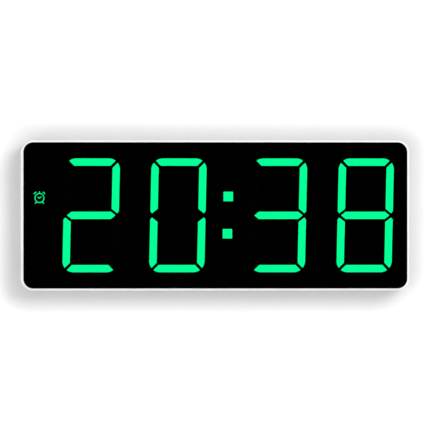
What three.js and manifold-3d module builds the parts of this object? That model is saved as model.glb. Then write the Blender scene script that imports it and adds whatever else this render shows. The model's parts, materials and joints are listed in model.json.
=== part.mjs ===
// Digital wall clock: a slim white housing, a dark glossy front and four large lit digits.
//
// Units are millimetres. +X is to the right as the clock is read, +Y goes from the front to
// the back and +Z is up. Every piece is drawn about the centre of the face, and the whole
// clock is then raised by half its height, so that it stands on z = 0.
import * as THREE from 'three';
import Module from 'manifold-3d';
import { mergeVertices } from 'three/addons/utils/BufferGeometryUtils.js';

const wasm = await Module();
wasm.setup();

// Housing
const clockWidth = 250;
const clockHeight = 96.8;
const clockDepth = 27;
const cornerRadius = 7.6;
const rimWidth = 1.25;
const frontEdgeRound = 1;
const rearEdgeRound = 3;
const sideWall = 1.8;
const rearWall = 2;
const splitBehindBoard = 3.9;
const lipThickness = 1.2;
const lipHeight = 2;

// Clearances
const seatGap = 0.3;
const lensGap = 0.15;
const slideGap = 0.3;
const solderGap = 0.1;

// Lens, mask and the ledge that carries them
const lensRecess = 0.4;
const lensThickness = 2;
const lensEdgeRound = 0.2;
const ledgeWidth = 4;
const ledgeThickness = 1.5;
const frameRibInset = 55;
const bossShelf = 1.35;
const maskThickness = 0.5;

// Digits: seven segments each, leaning a little to the right
const digitWidth = 35.5;
const digitEdge = 11.8;
const digitRadius = 7.3;
const stroke = 4.8;
const slant = 0.0227;
const cornerCut = 1.83;
const barTipInset = 2.3;
const barTipLength = 2.95;
const upperEndInside = 4.2;
const upperEndTip = 1.3;
const upperEndOutside = 2.6;
const upperEndTipInset = 1.1;
const colonOffset = -0.33;
const colonSpacing = 24;
const colonSquare = 6.2;
const symbolInset = 6.3;
const symbolZ = 11.1;
const symbolRadius = 4.7;

// Light box, diffusers and the board behind them
const lightBoxDepth = 8.2;
const flangeThickness = 1.5;
const flangeOverhang = 2.5;
const diffuserThickness = 0.8;
const diffuserMargin = 1.6;
const padHeight = 0.75;
const padGap = 0.15;
const wellTaper = 0.7;
const bossClearance = 0.7;
const boardThickness = 1.6;
const ledLength = 2.8;
const ledWidth = 1.4;
const ledHeight = 0.7;

// Screws
const screwInset = 8;
const screwHeadRadius = 2.8;
const screwHeadHeight = 1.8;
const screwShankRadius = 1.35;
const screwTipMargin = 3.6;
const screwHeadDepth = 4.2;
const frameBossRadius = 3;
const coverPostRadius = 3.8;
const pilotGap = 0.25;
const boardScrewInset = 14.4;
const boardScrewLength = 6;
const boardScrewRadius = 1;
const boardScrewHeadRadius = 2.1;
const boardScrewHeadHeight = 1.3;

// Fold-out stand
const standWidth = 50;
const standFootMargin = 8.4;
const standThickness = 2.6;
const standHingeDrop = 26.4;
const standFootWidth = 42;
const standPinRadius = 1.1;
const standPinReach = 3;
const standSideGap = 0.7;
const standWindowMargin = 9;
const recessFloor = 1.6;
const fingerScoopRadius = 10;
const fingerScoopDrop = 4.2;

// Keyholes for hanging
const keyholeInset = 40;
const keyholeDrop = 24.4;
const keyholeHeadRadius = 4.3;
const keyholeNeckRadius = 2.2;
const keyholeRise = 8;

// Coin cell, its holder and its quarter-turn door
const cellInset = 55;
const cellRise = 28.4;
const cellRadius = 10;
const cellHeight = 3.2;
const cellRim = 1;
const cellGap = 0.25;
const cellBelowRim = 0.2;
const holderWall = 1.05;
const holderFloor = 1.6;
const doorOverlap = 1;
const doorThickness = 1;
const doorSunk = 0.15;
const doorSkirtWall = 1.2;
const doorSkirtDrawnIn = 0.1;
const doorSkirtGap = 0.5;
const doorTabReach = 1.3;
const doorTabHeight = 1.2;
const doorTabAngle = 30;
const doorTurn = 60;
const coinSlotLength = 13;
const coinSlotWidth = 2;
const coinSlotDepth = 0.6;
const shroudWall = 1.4;
const shroudGap = 0.4;

// Push buttons and their switches
const buttonCount = 5;
const buttonInset = 53;
const buttonDrop = 46.4;
const buttonPitch = 13;
const buttonRadius = 3.4;
const buttonSunk = 0.5;
const buttonFlange = 1;
const buttonFlangeThickness = 1.2;
const buttonStemRadius = 1.5;
const buttonTravel = 0.5;
const buttonRecessDepth = 1.4;
const buttonRecessMargin = 2.8;
const buttonFloor = 1.6;
const switchSize = 6;
const switchHeight = 3.5;
const plungerRadius = 1.6;
const plungerRise = 1.3;
const plungerDepth = 1.4;

// Power inlet, sounder and the larger parts on the back of the board
const socketInset = 25;
const socketRise = 20.4;
const socketWidth = 8.9;
const socketHeight = 3.2;
const socketWall = 0.35;
const socketBore = 6;
const socketTongue = 0.7;
const socketRecessDepth = 2.5;
const socketRecessMargin = 3.4;
const buzzerInset = 25;
const buzzerDrop = 40.4;
const buzzerRadius = 6;
const buzzerTopGap = 1.8;
const soundHoleRadius = 1.1;
const soundHoleRing = 3.6;
const chipSize = 10;
const chipThickness = 1.5;
const chipX = 6;
const chipZ = -4;
const crystalX = 20;
const crystalRadius = 1.5;
const crystalLength = 8;
const capacitorBeside = 20;
const capacitorRadius = 3.15;
const capacitorHeight = 7;
const holdDownBeside = 15;
const holdDownInset = 10.4;
const coverRibBeside = 3;
const holdDownRadius = 2.5;

// Fineness of curves
const cornerSteps = 4;
const wideTurnSteps = 24;
const turnSteps = 14;
const smallTurnSteps = 10;
const screwSteps = 8;
const buttonSteps = 14;
const samePoint = 0.001;

// Levels along Y, from the front to the back
const frontY = -clockDepth / 2;
const rearY = clockDepth / 2;
const lensFront = frontY + lensRecess;
const lensBack = lensFront + lensThickness;
const ledgeFront = lensBack + seatGap;
const ledgeBack = ledgeFront + ledgeThickness;
const maskBack = ledgeFront + maskThickness;
const boxFront = maskBack + seatGap;
const boxBack = boxFront + lightBoxDepth;
const diffuserFront = boxFront + padGap;
const diffuserBack = diffuserFront + diffuserThickness;
const pocketFloor = diffuserBack + seatGap;
const flangeFront = ledgeBack + seatGap;
const flangeBack = flangeFront + flangeThickness;
const boardFront = boxBack + seatGap;
const boardBack = boardFront + boardThickness;
const partBase = boardBack + solderGap;
const frameBack = boardBack + splitBehindBoard;
const coverFront = frameBack + seatGap;
const rearInside = rearY - rearWall;
const overCut = 1;

// Insets from the outline of the clock
const ledgeInset = sideWall + ledgeWidth;
const flangeInset = ledgeInset - flangeOverhang;
const lipInset = sideWall + seatGap;

// A corner radius that leaves room for a screw boss in the corner: the arc of an outline, drawn
// in by an inset, passes the centre of the boss at the given distance.
function radiusPastBoss(inset, distance) {
  return (distance + Math.SQRT2 * (screwInset - inset)) / (Math.SQRT2 - 1);
}
const ledgeCornerRadius = radiusPastBoss(ledgeInset, frameBossRadius + bossShelf);
const flangeRadius = radiusPastBoss(flangeInset, frameBossRadius + bossClearance);

// Places on the face, from its centre. The free width beside the digits is shared out from
// left to right: the field of the symbol, the gaps after the first three digits and the right
// margin.
const halfWidth = clockWidth / 2;
const halfHeight = clockHeight / 2;
const digitHeight = clockHeight - 2 * digitEdge;
const gapShares = [21.75, 20.3, 29.1, 20.1, 5.15];
const panelWidth = clockWidth - 2 * ledgeInset;
const sum = (values) => values.reduce((total, value) => total + value, 0);
const gapScale = (panelWidth - 4 * digitWidth) / sum(gapShares);
const digitCentres = [0, 1, 2, 3].map((i) => (
  -panelWidth / 2 + gapScale * sum(gapShares.slice(0, i + 1)) + (i + 0.5) * digitWidth
));
const afterDigit = (i) => digitCentres[i] + (digitWidth + gapShares[i + 1] * gapScale) / 2;
const colonX = afterDigit(1) + colonOffset;
const symbolX = -panelWidth / 2 + symbolInset;
const screwX = halfWidth - screwInset;
const screwZ = halfHeight - screwInset;
const boardScrewXs = [afterDigit(0), afterDigit(2)];
const boardScrewZ = halfHeight - boardScrewInset;
const standHingeZ = halfHeight - standHingeDrop;
const standLength = clockHeight - standHingeDrop - standFootMargin;
const keyholeX = halfWidth - keyholeInset;
const keyholeZ = halfHeight - keyholeDrop;
const cellX = -halfWidth + cellInset;
const cellZ = -halfHeight + cellRise;
const buttonX = halfWidth - buttonInset;
const buttonZ = halfHeight - buttonDrop;
const socketX = halfWidth - socketInset;
const socketZ = -halfHeight + socketRise;
const capacitorX = socketX - capacitorBeside;
const buzzerX = -halfWidth + buzzerInset;
const buzzerZ = halfHeight - buzzerDrop;
const buzzerHeight = rearInside - partBase - buzzerTopGap;
const holdDownX = standWidth / 2 + holdDownBeside;
const holdDownZ = halfHeight - holdDownInset;
const frameRibX = halfWidth - frameRibInset;
const firstButtonX = buttonX - 2 * buttonPitch;
const coverRibX = (standWidth / 2 + firstButtonX - coverRibBeside) / 2;

// The colour and shine of each material, as the photograph shows it or as such parts have.
function finish(color, roughness, metalness = 0) {
  return new THREE.MeshStandardMaterial({ color, roughness, metalness });
}
const whiteShell = finish('#f4f5f4', 0.42);
const smokedAcrylic = finish('#050505', 0.06);
const blackFilm = finish('#080808', 0.7);
const litPlastic = finish('#01fd92', 0.5);
const lightBoxPlastic = finish('#e9ebea', 0.55);
const boardGreen = finish('#1f5a35', 0.5);
const blackPlastic = finish('#161617', 0.45);
const brightSteel = finish('#b9bcbf', 0.28, 1);
const blackScrew = finish('#2a2b2d', 0.4, 1);

// Turns a closed geometry into a solid that can be joined and cut.
function solidOf(geometry) {
  geometry.deleteAttribute('normal');
  geometry.deleteAttribute('uv');
  const merged = mergeVertices(geometry);
  const index = merged.index.array;
  const corners = [];
  for (let i = 0; i < index.length; i += 3) {
    const [a, b, c] = [index[i], index[i + 1], index[i + 2]];
    if (a !== b && b !== c && c !== a) corners.push(a, b, c);
  }
  const vertProperties = new Float32Array(merged.attributes.position.array);
  return new wasm.Manifold(new wasm.Mesh({ numProp: 3, vertProperties, triVerts: new Uint32Array(corners) }));
}

function geometryOf(solid) {
  const mesh = solid.getMesh();
  const geometry = new THREE.BufferGeometry();
  geometry.setAttribute('position', new THREE.BufferAttribute(Float32Array.from(mesh.vertProperties), 3));
  geometry.setIndex(new THREE.BufferAttribute(Uint32Array.from(mesh.triVerts), 1));
  geometry.computeVertexNormals();
  return geometry;
}

const join = (base, ...others) => others.flat().reduce((sum, solid) => sum.add(solid), base);
const cut = (base, ...others) => others.flat().reduce((rest, solid) => rest.subtract(solid), base);
const degrees = (angle) => (angle * Math.PI) / 180;

// An outline on the face, from its points in turn, counterclockwise as the clock is read.
function outline(points) {
  return new THREE.Shape(points.map(([x, z]) => new THREE.Vector2(x, z)));
}

// A rectangle with round corners about a centre, as points.
function roundedPoints(width, height, radius, x = 0, z = 0, steps = cornerSteps) {
  const points = [];
  for (let corner = 0; corner < 4; corner += 1) {
    const signX = corner === 0 || corner === 3 ? 1 : -1;
    const signZ = corner < 2 ? 1 : -1;
    for (let step = 0; step <= steps; step += 1) {
      const angle = degrees(90 * (corner + step / steps));
      points.push([
        x + signX * (width / 2 - radius) + radius * Math.cos(angle),
        z + signZ * (height / 2 - radius) + radius * Math.sin(angle),
      ]);
    }
  }
  return points.filter(([px, pz], i) => {
    const [nextX, nextZ] = points[(i + 1) % points.length];
    return Math.hypot(nextX - px, nextZ - pz) > samePoint;
  });
}

// The outline of the clock drawn in by an inset, with a given corner radius.
function faceOutline(inset, radius = Math.max(cornerRadius - inset, 0.5)) {
  return roundedPoints(clockWidth - 2 * inset, clockHeight - 2 * inset, radius);
}

// A flat piece between two levels of depth, with an optional list of holes.
function slab(points, front, back, holes = []) {
  const shape = outline(points);
  shape.holes = holes.map(outline);
  const geometry = new THREE.ExtrudeGeometry(shape, { depth: back - front, bevelEnabled: false });
  geometry.rotateX(Math.PI / 2);
  geometry.translate(0, back, 0);
  return solidOf(geometry);
}

// A rectangular block between two levels of depth.
function block(x, z, width, height, front, back) {
  const geometry = new THREE.BoxGeometry(width, back - front, height);
  geometry.translate(x, (front + back) / 2, z);
  return solidOf(geometry);
}

// A skin over rings of points that lie at rising levels of depth: [level, points] in turn.
function loft(rings) {
  const count = rings[0][1].length;
  const positions = rings.flatMap(([level, points]) => points.flatMap(([x, z]) => [x, level, z]));
  const faces = [];
  for (let ring = 0; ring < rings.length - 1; ring += 1) {
    for (let i = 0; i < count; i += 1) {
      const a = ring * count + i;
      const b = ring * count + ((i + 1) % count);
      faces.push(a, a + count, b, b, a + count, b + count);
    }
  }
  const capOf = (points) => THREE.ShapeUtils.triangulateShape(points.map(([x, z]) => new THREE.Vector2(x, z)), []);
  const last = (rings.length - 1) * count;
  capOf(rings[0][1]).forEach(([a, b, c]) => faces.push(a, b, c));
  capOf(rings[rings.length - 1][1]).forEach(([a, b, c]) => faces.push(last + a, last + c, last + b));
  const geometry = new THREE.BufferGeometry();
  geometry.setAttribute('position', new THREE.Float32BufferAttribute(positions, 3));
  geometry.setIndex(faces);
  return solidOf(geometry);
}

// A turned piece about a line along Y. The profile lists [radius, level] and closes on itself
// or on its axis, running from the front to the back on its outer side.
function turned(profile, x, z, steps = turnSteps) {
  const geometry = new THREE.LatheGeometry(profile.map(([radius, level]) => new THREE.Vector2(radius, level)), steps);
  geometry.translate(x, 0, z);
  return solidOf(geometry);
}

function rod(radius, front, back, x, z, steps = turnSteps) {
  return turned([[0, front], [radius, front], [radius, back], [0, back]], x, z, steps);
}

// A round bar along X.
function crossBar(radius, length, y, z, steps = smallTurnSteps) {
  const geometry = new THREE.CylinderGeometry(radius, radius, length, steps);
  geometry.rotateZ(Math.PI / 2);
  geometry.translate(0, y, z);
  return solidOf(geometry);
}

// Moves every edge of a convex outline outward by a distance, or inward when it is negative.
function grow(points, distance) {
  const count = points.length;
  const edges = points.map(([x, z], i) => {
    const [nextX, nextZ] = points[(i + 1) % count];
    const length = Math.hypot(nextX - x, nextZ - z);
    const normal = [(nextZ - z) / length, (x - nextX) / length];
    return { normal, reach: normal[0] * x + normal[1] * z + distance };
  });
  return edges.map((edge, i) => {
    const before = edges[(i + count - 1) % count];
    const [ax, az] = before.normal;
    const [bx, bz] = edge.normal;
    const cross = ax * bz - az * bx;
    return [(before.reach * bz - edge.reach * az) / cross, (edge.reach * ax - before.reach * bx) / cross];
  });
}
const mirrorX = (points) => points.map(([x, z]) => [-x, z]).reverse();
const mirrorZ = (points) => points.map(([x, z]) => [x, -z]).reverse();

const corners = [[1, 1], [-1, 1], [-1, -1], [1, -1]];

// The seven segments of one digit about its own centre, before it leans. The corners of the
// digit are round outside and mitred between segments, and the middle bar is pointed. Steps
// is the fineness of the round corners.
function segmentOutlines(steps) {
  const halfDigit = digitWidth / 2;
  const digitTop = digitHeight / 2;
  const mitre = cornerCut / Math.SQRT2;
  const swing = Math.asin(mitre / (digitRadius * Math.SQRT2));
  const cornerArc = (from, to) => {
    return Array.from({ length: steps + 1 }, (_, step) => {
      const angle = from + ((to - from) * step) / steps;
      const x = -halfDigit + digitRadius * (1 - Math.cos(angle));
      return [x, digitTop - digitRadius * (1 - Math.sin(angle))];
    });
  };
  const innerX = halfDigit - stroke;
  const innerZ = digitTop - stroke;
  const top = [
    [-innerX + mitre, innerZ],
    [innerX - mitre, innerZ],
    ...cornerArc(Math.PI / 4 + swing, Math.PI / 2).map(([x, z]) => [-x, z]),
    ...cornerArc(Math.PI / 2, Math.PI / 4 + swing),
  ];
  const upperLeft = [
    ...cornerArc(Math.PI / 4 - swing, 0),
    [-halfDigit, upperEndOutside],
    [-halfDigit + upperEndTipInset, upperEndTip],
    [-innerX, upperEndInside],
    [-innerX, innerZ - mitre],
  ];
  const tip = halfDigit - barTipInset;
  const shoulder = tip - barTipLength;
  const middle = [
    [-tip, 0],
    [-shoulder, -stroke / 2],
    [shoulder, -stroke / 2],
    [tip, 0],
    [shoulder, stroke / 2],
    [-shoulder, stroke / 2],
  ];
  const lowerLeft = mirrorZ(upperLeft);
  return [top, mirrorX(upperLeft), mirrorX(lowerLeft), mirrorZ(top), lowerLeft, upperLeft, middle];
}
const segments = segmentOutlines(3);
const wellSegments = segmentOutlines(1);

// Leans an outline to the right and moves it to its digit's centre.
const lean = (points, centre) => points.map(([x, z]) => [centre + x + slant * z, z]);
const segmentsOf = (centre, shapes = segments) => shapes.map((points) => lean(points, centre));

const colonSquares = [1, -1].map((side) => {
  const z = (side * colonSpacing) / 2;
  const x = colonX + slant * z;
  return corners.map(([sx, sz]) => [x + (sx * colonSquare) / 2, z + (sz * colonSquare) / 2]);
});
const symbolDisc = (radius, steps = 4) => roundedPoints(2 * radius, 2 * radius, radius, symbolX, symbolZ, steps);
const lightWindows = [
  ...digitCentres.flatMap((centre) => segmentsOf(centre)),
  ...colonSquares,
  symbolDisc(symbolRadius),
];
const wellOutlines = [
  ...digitCentres.flatMap((centre) => segmentsOf(centre, wellSegments)),
  ...colonSquares,
  symbolDisc(symbolRadius, 3),
];

// The levels of a round edge: steps from the flat face, where it is drawn in by the radius,
// out to the full outline, or back in again when it is turned round.
function roundEdge(radius, level, direction, steps, shapeAt) {
  return Array.from({ length: steps + 1 }, (_, step) => {
    const angle = degrees((90 * step) / steps);
    const inset = radius * (1 - Math.sin(angle));
    return [level + direction * radius * (1 - Math.cos(angle)), shapeAt(inset)];
  });
}

const screwSeat = rearY - screwHeadDepth;
const screwTip = ledgeBack + screwTipMargin;
const screwLength = screwSeat - screwTip;
const boardScrewSeat = boardBack + solderGap;
const boardScrewTip = boardScrewSeat - boardScrewLength;

// Front frame: the white moulding round the lens. Its ledge carries the lens in front and the
// light box behind, and its four bosses take the rear screws.
function frontFrame() {
  const outside = loft([
    ...roundEdge(frontEdgeRound, frontY, 1, 3, (inset) => faceOutline(inset)),
    [frameBack, faceOutline(0)],
  ]);
  const lensPocket = slab(faceOutline(rimWidth), frontY - overCut, ledgeFront);
  const ledgeOpening = slab(faceOutline(ledgeInset, ledgeCornerRadius), ledgeFront - overCut, ledgeBack + overCut);
  const cavity = slab(faceOutline(sideWall), ledgeBack, frameBack + overCut);
  const bosses = corners.map(([sx, sz]) => (
    rod(frameBossRadius, ledgeBack - overCut / 2, frameBack, sx * screwX, sz * screwZ)
  ));
  const pilots = corners.map(([sx, sz]) => (
    rod(screwShankRadius + pilotGap, screwTip - overCut, frameBack + overCut, sx * screwX, sz * screwZ, smallTurnSteps)
  ));
  const ribReach = flangeInset - sideWall - seatGap;
  const ribThickness = 1.2;
  const ribTop = halfHeight - sideWall - ribReach / 2;
  const ribSide = halfWidth - sideWall - ribReach / 2;
  const ribOverlap = 0.2;
  const ribs = [-1, 0, 1].map((place) => place * frameRibX).flatMap((x) => [1, -1].map((side) => (
    block(x, side * (ribTop + ribOverlap / 2), ribThickness, ribReach + ribOverlap, ledgeBack - ribOverlap, boardBack)
  )));
  const sideRibs = [1, -1].map((side) => (
    block(side * (ribSide + ribOverlap / 2), 0, ribReach + ribOverlap, ribThickness, ledgeBack - ribOverlap, boardBack)
  ));
  const shell = cut(outside, lensPocket, ledgeOpening, cavity);
  return cut(join(shell, bosses, ribs, sideRibs), pilots);
}

// Lens: the dark glossy sheet that fills the rim.
function frontLens() {
  const at = (inset) => faceOutline(rimWidth + lensGap + inset);
  return loft([...roundEdge(lensEdgeRound, lensFront, 1, 2, at), [lensBack, at(0)]]);
}

// Mask: a black film with a window for each segment, the colon and the small symbol.
function segmentMask() {
  const sheet = faceOutline(ledgeInset + seatGap, ledgeCornerRadius - seatGap);
  return slab(sheet, ledgeFront, maskBack, lightWindows);
}

// The frame of a digit's diffuser, which runs under all seven segments and is open in the two
// fields between them.
function digitPlate(centre, margin, front, back) {
  const outside = roundedPoints(digitWidth + 2 * margin, digitHeight + 2 * margin, digitRadius + margin, 0, 0, 3);
  const fieldWidth = digitWidth - 2 * (stroke + margin);
  const fieldHeight = digitHeight / 2 - 1.5 * stroke - 2 * margin;
  const fieldZ = (digitHeight - stroke) / 4;
  const fields = [1, -1].map((side) => roundedPoints(fieldWidth, fieldHeight, 1, 0, side * fieldZ, 1));
  return slab(lean(outside, centre), front, back, fields.map((field) => lean(field, centre)));
}

// Diffuser of one digit: a milky sheet with a raised pad in each window of the mask.
function digitDiffuser(centre) {
  const plate = digitPlate(centre, diffuserMargin, diffuserFront, diffuserBack);
  const padFront = diffuserFront - padHeight;
  const pads = segmentsOf(centre).map((points) => (
    slab(grow(points, -padGap), padFront, diffuserFront + diffuserThickness / 2)
  ));
  return join(plate, pads);
}

const colonPlate = (margin, front, back) => {
  const width = colonSquare + 2 * margin;
  const height = colonSpacing + colonSquare + 2 * margin;
  return slab(lean(roundedPoints(width, height, 1.5, 0, 0, 3), colonX), front, back);
};

function colonDiffuser() {
  const pads = colonSquares.map((points) => (
    slab(grow(points, -padGap), diffuserFront - padHeight, diffuserFront + diffuserThickness / 2)
  ));
  return join(colonPlate(diffuserMargin, diffuserFront, diffuserBack), pads);
}

function symbolDiffuser() {
  const plate = slab(symbolDisc(symbolRadius + diffuserMargin / 2), diffuserFront, diffuserBack);
  const pad = slab(symbolDisc(symbolRadius - padGap), diffuserFront - padHeight, diffuserFront + diffuserThickness / 2);
  return join(plate, pad);
}

// Light box: a thin moulding with a tapered well under every window. Each well is a funnel
// that is wide at the diffuser and narrow round its lamps on the board.
function lightBox() {
  const bodyInset = ledgeInset + seatGap;
  const bodyRadius = ledgeCornerRadius - seatGap;
  const wallThickness = 1.2;
  const ribThickness = 1;
  const postRadius = 2.6;
  const front = slab(faceOutline(bodyInset, bodyRadius), boxFront, flangeBack);
  const flange = slab(faceOutline(flangeInset, flangeRadius), flangeFront, flangeBack);
  const skirt = slab(
    faceOutline(bodyInset, bodyRadius),
    flangeBack - overCut,
    boxBack,
    [faceOutline(bodyInset + wallThickness, bodyRadius - wallThickness)],
  );
  const funnel = (points, thickness, from, to) => loft([
    [from, grow(points, thickness)],
    [to, grow(points, thickness - wellTaper)],
  ]);
  const funnels = wellOutlines.map((points) => funnel(points, wallThickness, flangeBack - overCut, boxBack));
  const wells = wellOutlines.map((points) => funnel(points, 0, pocketFloor - overCut / 2, boxBack + overCut));
  const ribHeight = clockHeight - 2 * bodyInset - wallThickness;
  const besideSymbol = (symbolX + symbolRadius + digitCentres[0] - digitWidth / 2) / 2;
  const besideColon = (colonX + digitCentres[2] - digitWidth / 2) / 2;
  const ribXs = [besideSymbol, besideColon, ...boardScrewXs];
  const ribs = ribXs.map((x) => block(x, 0, ribThickness, ribHeight, flangeBack - overCut, boxBack));
  const posts = boardScrewXs.flatMap((x) => [1, -1].map((side) => (
    rod(postRadius, flangeBack - overCut, boxBack, x, side * boardScrewZ, smallTurnSteps)
  )));
  const pilots = boardScrewXs.flatMap((x) => [1, -1].map((side) => (
    rod(boardScrewRadius + pilotGap, boardScrewTip - overCut / 2, boxBack + overCut, x, side * boardScrewZ, smallTurnSteps)
  )));
  const pocketMargin = diffuserMargin + seatGap;
  const pockets = [
    ...digitCentres.map((centre) => digitPlate(centre, pocketMargin, boxFront - overCut, pocketFloor)),
    colonPlate(pocketMargin, boxFront - overCut, pocketFloor),
    slab(symbolDisc(symbolRadius + diffuserMargin / 2 + seatGap), boxFront - overCut, pocketFloor),
  ];
  return cut(join(front, flange, skirt, funnels, ribs, posts), pockets, wells, pilots);
}

// Board: one green sheet behind the light box, with two small lamps soldered on in each
// segment's well, one under each square of the colon and one under the symbol.
function displayBoard() {
  const sheet = slab(faceOutline(flangeInset, flangeRadius), boardFront, boardBack);
  const lamp = (x, z, upright) => {
    const [width, height] = upright ? [ledWidth, ledLength] : [ledLength, ledWidth];
    return block(x, z, width, height, boardFront - ledHeight, boardFront + overCut / 2);
  };
  const barLamp = digitWidth / 5;
  const rowZ = (digitHeight - stroke) / 2;
  const columnX = (digitWidth - stroke) / 2;
  const columnZ = digitHeight / 4;
  const columnLamp = digitHeight / 9;
  const lamps = digitCentres.flatMap((centre) => [
    ...[-rowZ, 0, rowZ].flatMap((z) => [-1, 1].map((side) => lamp(centre + slant * z + side * barLamp, z, false))),
    ...[-1, 1].flatMap((sx) => [-1, 1].flatMap((sz) => [-1, 1].map((end) => {
      const z = sz * columnZ + end * columnLamp;
      return lamp(centre + slant * z + sx * columnX, z, true);
    }))),
  ]);
  const colonLamps = [-1, 1].map((side) => {
    const z = (side * colonSpacing) / 2;
    return lamp(colonX + slant * z, z, false);
  });
  const holes = boardScrewXs.flatMap((x) => [1, -1].map((side) => (
    rod(boardScrewRadius + pilotGap, boardFront - overCut, boardBack + overCut, x, side * boardScrewZ, smallTurnSteps)
  )));
  return cut(join(sheet, lamps, colonLamps, lamp(symbolX, symbolZ, false)), holes);
}

// A round-headed screw whose head rests on the level of its seat and points to the front.
function screw(x, z, seat, length, shankRadius, headRadius, headHeight) {
  const under = seat + solderGap;
  const tipShare = 0.6;
  const rimShare = 0.4;
  const [domeRadiusShare, domeHeightShare] = [0.7, 0.85];
  return turned([
    [0, seat - length],
    [shankRadius * tipShare, seat - length],
    [shankRadius, seat - length + shankRadius],
    [shankRadius, under],
    [headRadius, under],
    [headRadius, under + headHeight * rimShare],
    [headRadius * domeRadiusShare, under + headHeight * domeHeightShare],
    [0, under + headHeight],
  ], x, z, screwSteps);
}

// Parts on the back of the board.
function controllerChip() {
  return block(chipX, chipZ, chipSize, chipSize, partBase, partBase + chipThickness);
}

function clockCrystal() {
  const geometry = new THREE.CylinderGeometry(crystalRadius, crystalRadius, crystalLength, smallTurnSteps);
  geometry.rotateX(Math.PI / 2);
  geometry.translate(crystalX, partBase + crystalRadius, chipZ);
  return solidOf(geometry);
}

function smoothingCapacitor() {
  const foot = partBase + capacitorHeight / 5;
  const groove = 0.3;
  const neck = capacitorRadius - groove;
  return turned([
    [0, partBase],
    [capacitorRadius, partBase],
    [capacitorRadius, foot],
    [neck, foot + groove],
    [capacitorRadius, foot + 2 * groove],
    [capacitorRadius, partBase + capacitorHeight - groove],
    [neck, partBase + capacitorHeight],
    [0, partBase + capacitorHeight],
  ], capacitorX, socketZ);
}

function buzzer() {
  const top = partBase + buzzerHeight;
  const soundHole = buzzerRadius / 4;
  const chamberDepth = 1.5;
  const edge = 0.4;
  return turned([
    [0, partBase],
    [buzzerRadius, partBase],
    [buzzerRadius, top - edge],
    [buzzerRadius - edge, top],
    [soundHole, top],
    [soundHole, top - chamberDepth],
    [0, top - chamberDepth],
  ], buzzerX, buzzerZ);
}

const socketFloor = rearY - socketRecessDepth;

// Power inlet: an upright metal shell, open to the back, with a tongue standing in it.
function powerSocket() {
  const stadium = (grown) => {
    const width = socketWidth + 2 * grown;
    const height = socketHeight + 2 * grown;
    return roundedPoints(width, height, height / 2, socketX, socketZ, 5);
  };
  const shell = slab(stadium(0), partBase, socketFloor);
  const boreFront = socketFloor - socketBore;
  const bore = slab(stadium(-socketWall), boreFront, socketFloor + overCut);
  const tongueShare = 0.75;
  const tongueWidth = socketWidth * tongueShare;
  const tongue = block(socketX, socketZ, tongueWidth, socketTongue, boreFront - overCut / 2, socketFloor - overCut);
  return join(cut(shell, bore), tongue);
}

const cellFront = partBase + holderFloor + solderGap;
const cellBack = cellFront + cellHeight;
const holderTop = cellBack + cellBelowRim;
const holderRadius = cellRadius + cellGap + holderWall;
const skirtRadius = holderRadius - doorSkirtDrawnIn;
const tabOuter = skirtRadius + doorTabReach;
const doorRadius = tabOuter + doorOverlap;
const skirtFront = holderTop + doorSkirtGap;
const doorBack = rearY - doorSunk;
const doorFront = doorBack - doorThickness;
const doorSeat = doorFront - doorSunk;
const tabBack = rearInside - seatGap;
const tabFront = tabBack - doorTabHeight;
const shroudRadius = tabOuter + shroudGap;

// Coin cell holder: a round cup on the board with a notch for its sprung contact.
function cellHolder() {
  const inner = cellRadius + cellGap;
  const cup = turned([
    [0, partBase],
    [holderRadius, partBase],
    [holderRadius, holderTop],
    [inner, holderTop],
    [inner, partBase + holderFloor],
    [0, partBase + holderFloor],
  ], cellX, cellZ);
  const notchWidth = 7;
  const notch = block(cellX - cellRadius, cellZ, 2 * holderWall + 2, notchWidth, partBase + holderFloor, holderTop + overCut);
  return cut(cup, notch);
}

// Contact: a strip that stands in the notch of the holder and bends over the edge of the cell.
function cellContact() {
  const strip = 0.3;
  const width = 4;
  const legX = cellX - cellRadius - cellGap - strip / 2;
  const reach = 2.4;
  const top = cellBack + solderGap;
  const leg = block(legX, cellZ, strip, width, partBase + holderFloor + solderGap, top + strip);
  const arm = block(legX + reach / 2 - strip / 2, cellZ, reach, width, top, top + strip);
  return join(leg, arm);
}

function coinCell() {
  const step = 0.5;
  const edge = 0.2;
  return turned([
    [0, cellFront],
    [cellRadius - cellRim - step, cellFront],
    [cellRadius - cellRim, cellFront + step],
    [cellRadius - edge, cellFront + step],
    [cellRadius, cellFront + step + edge],
    [cellRadius, cellBack - edge],
    [cellRadius - edge, cellBack],
    [0, cellBack],
  ], cellX, cellZ);
}

// A part of a ring between two radii and two angles, in degrees, about the coin cell.
function ringSector(inner, outer, middle, spread, steps = 4) {
  const arc = (radius, from, to) => Array.from({ length: steps + 1 }, (_, step) => {
    const angle = degrees(from + ((to - from) * step) / steps);
    return [cellX + radius * Math.cos(angle), cellZ + radius * Math.sin(angle)];
  });
  const [low, high] = [middle - spread / 2, middle + spread / 2];
  return [...arc(outer, low, high), ...arc(inner, high, low)];
}

// Battery door: a disc with a coin slot, a skirt that reaches down to the holder and two tabs
// that lock under the lip of the rear cover.
function batteryDoor() {
  const body = turned([
    [skirtRadius - doorSkirtWall, skirtFront],
    [skirtRadius, skirtFront],
    [skirtRadius, doorFront],
    [doorRadius, doorFront],
    [doorRadius, doorBack],
    [0, doorBack],
    [0, doorFront],
    [skirtRadius - doorSkirtWall, doorFront],
    [skirtRadius - doorSkirtWall, skirtFront],
  ], cellX, cellZ, wideTurnSteps);
  const tabs = [0, 180].map((middle) => (
    slab(ringSector(skirtRadius - doorSkirtWall / 2, tabOuter, middle, doorTabAngle), tabFront, tabBack)
  ));
  const slot = block(cellX, cellZ, coinSlotLength, coinSlotWidth, doorBack - coinSlotDepth, doorBack + overCut);
  return cut(join(body, tabs), slot);
}

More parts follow.
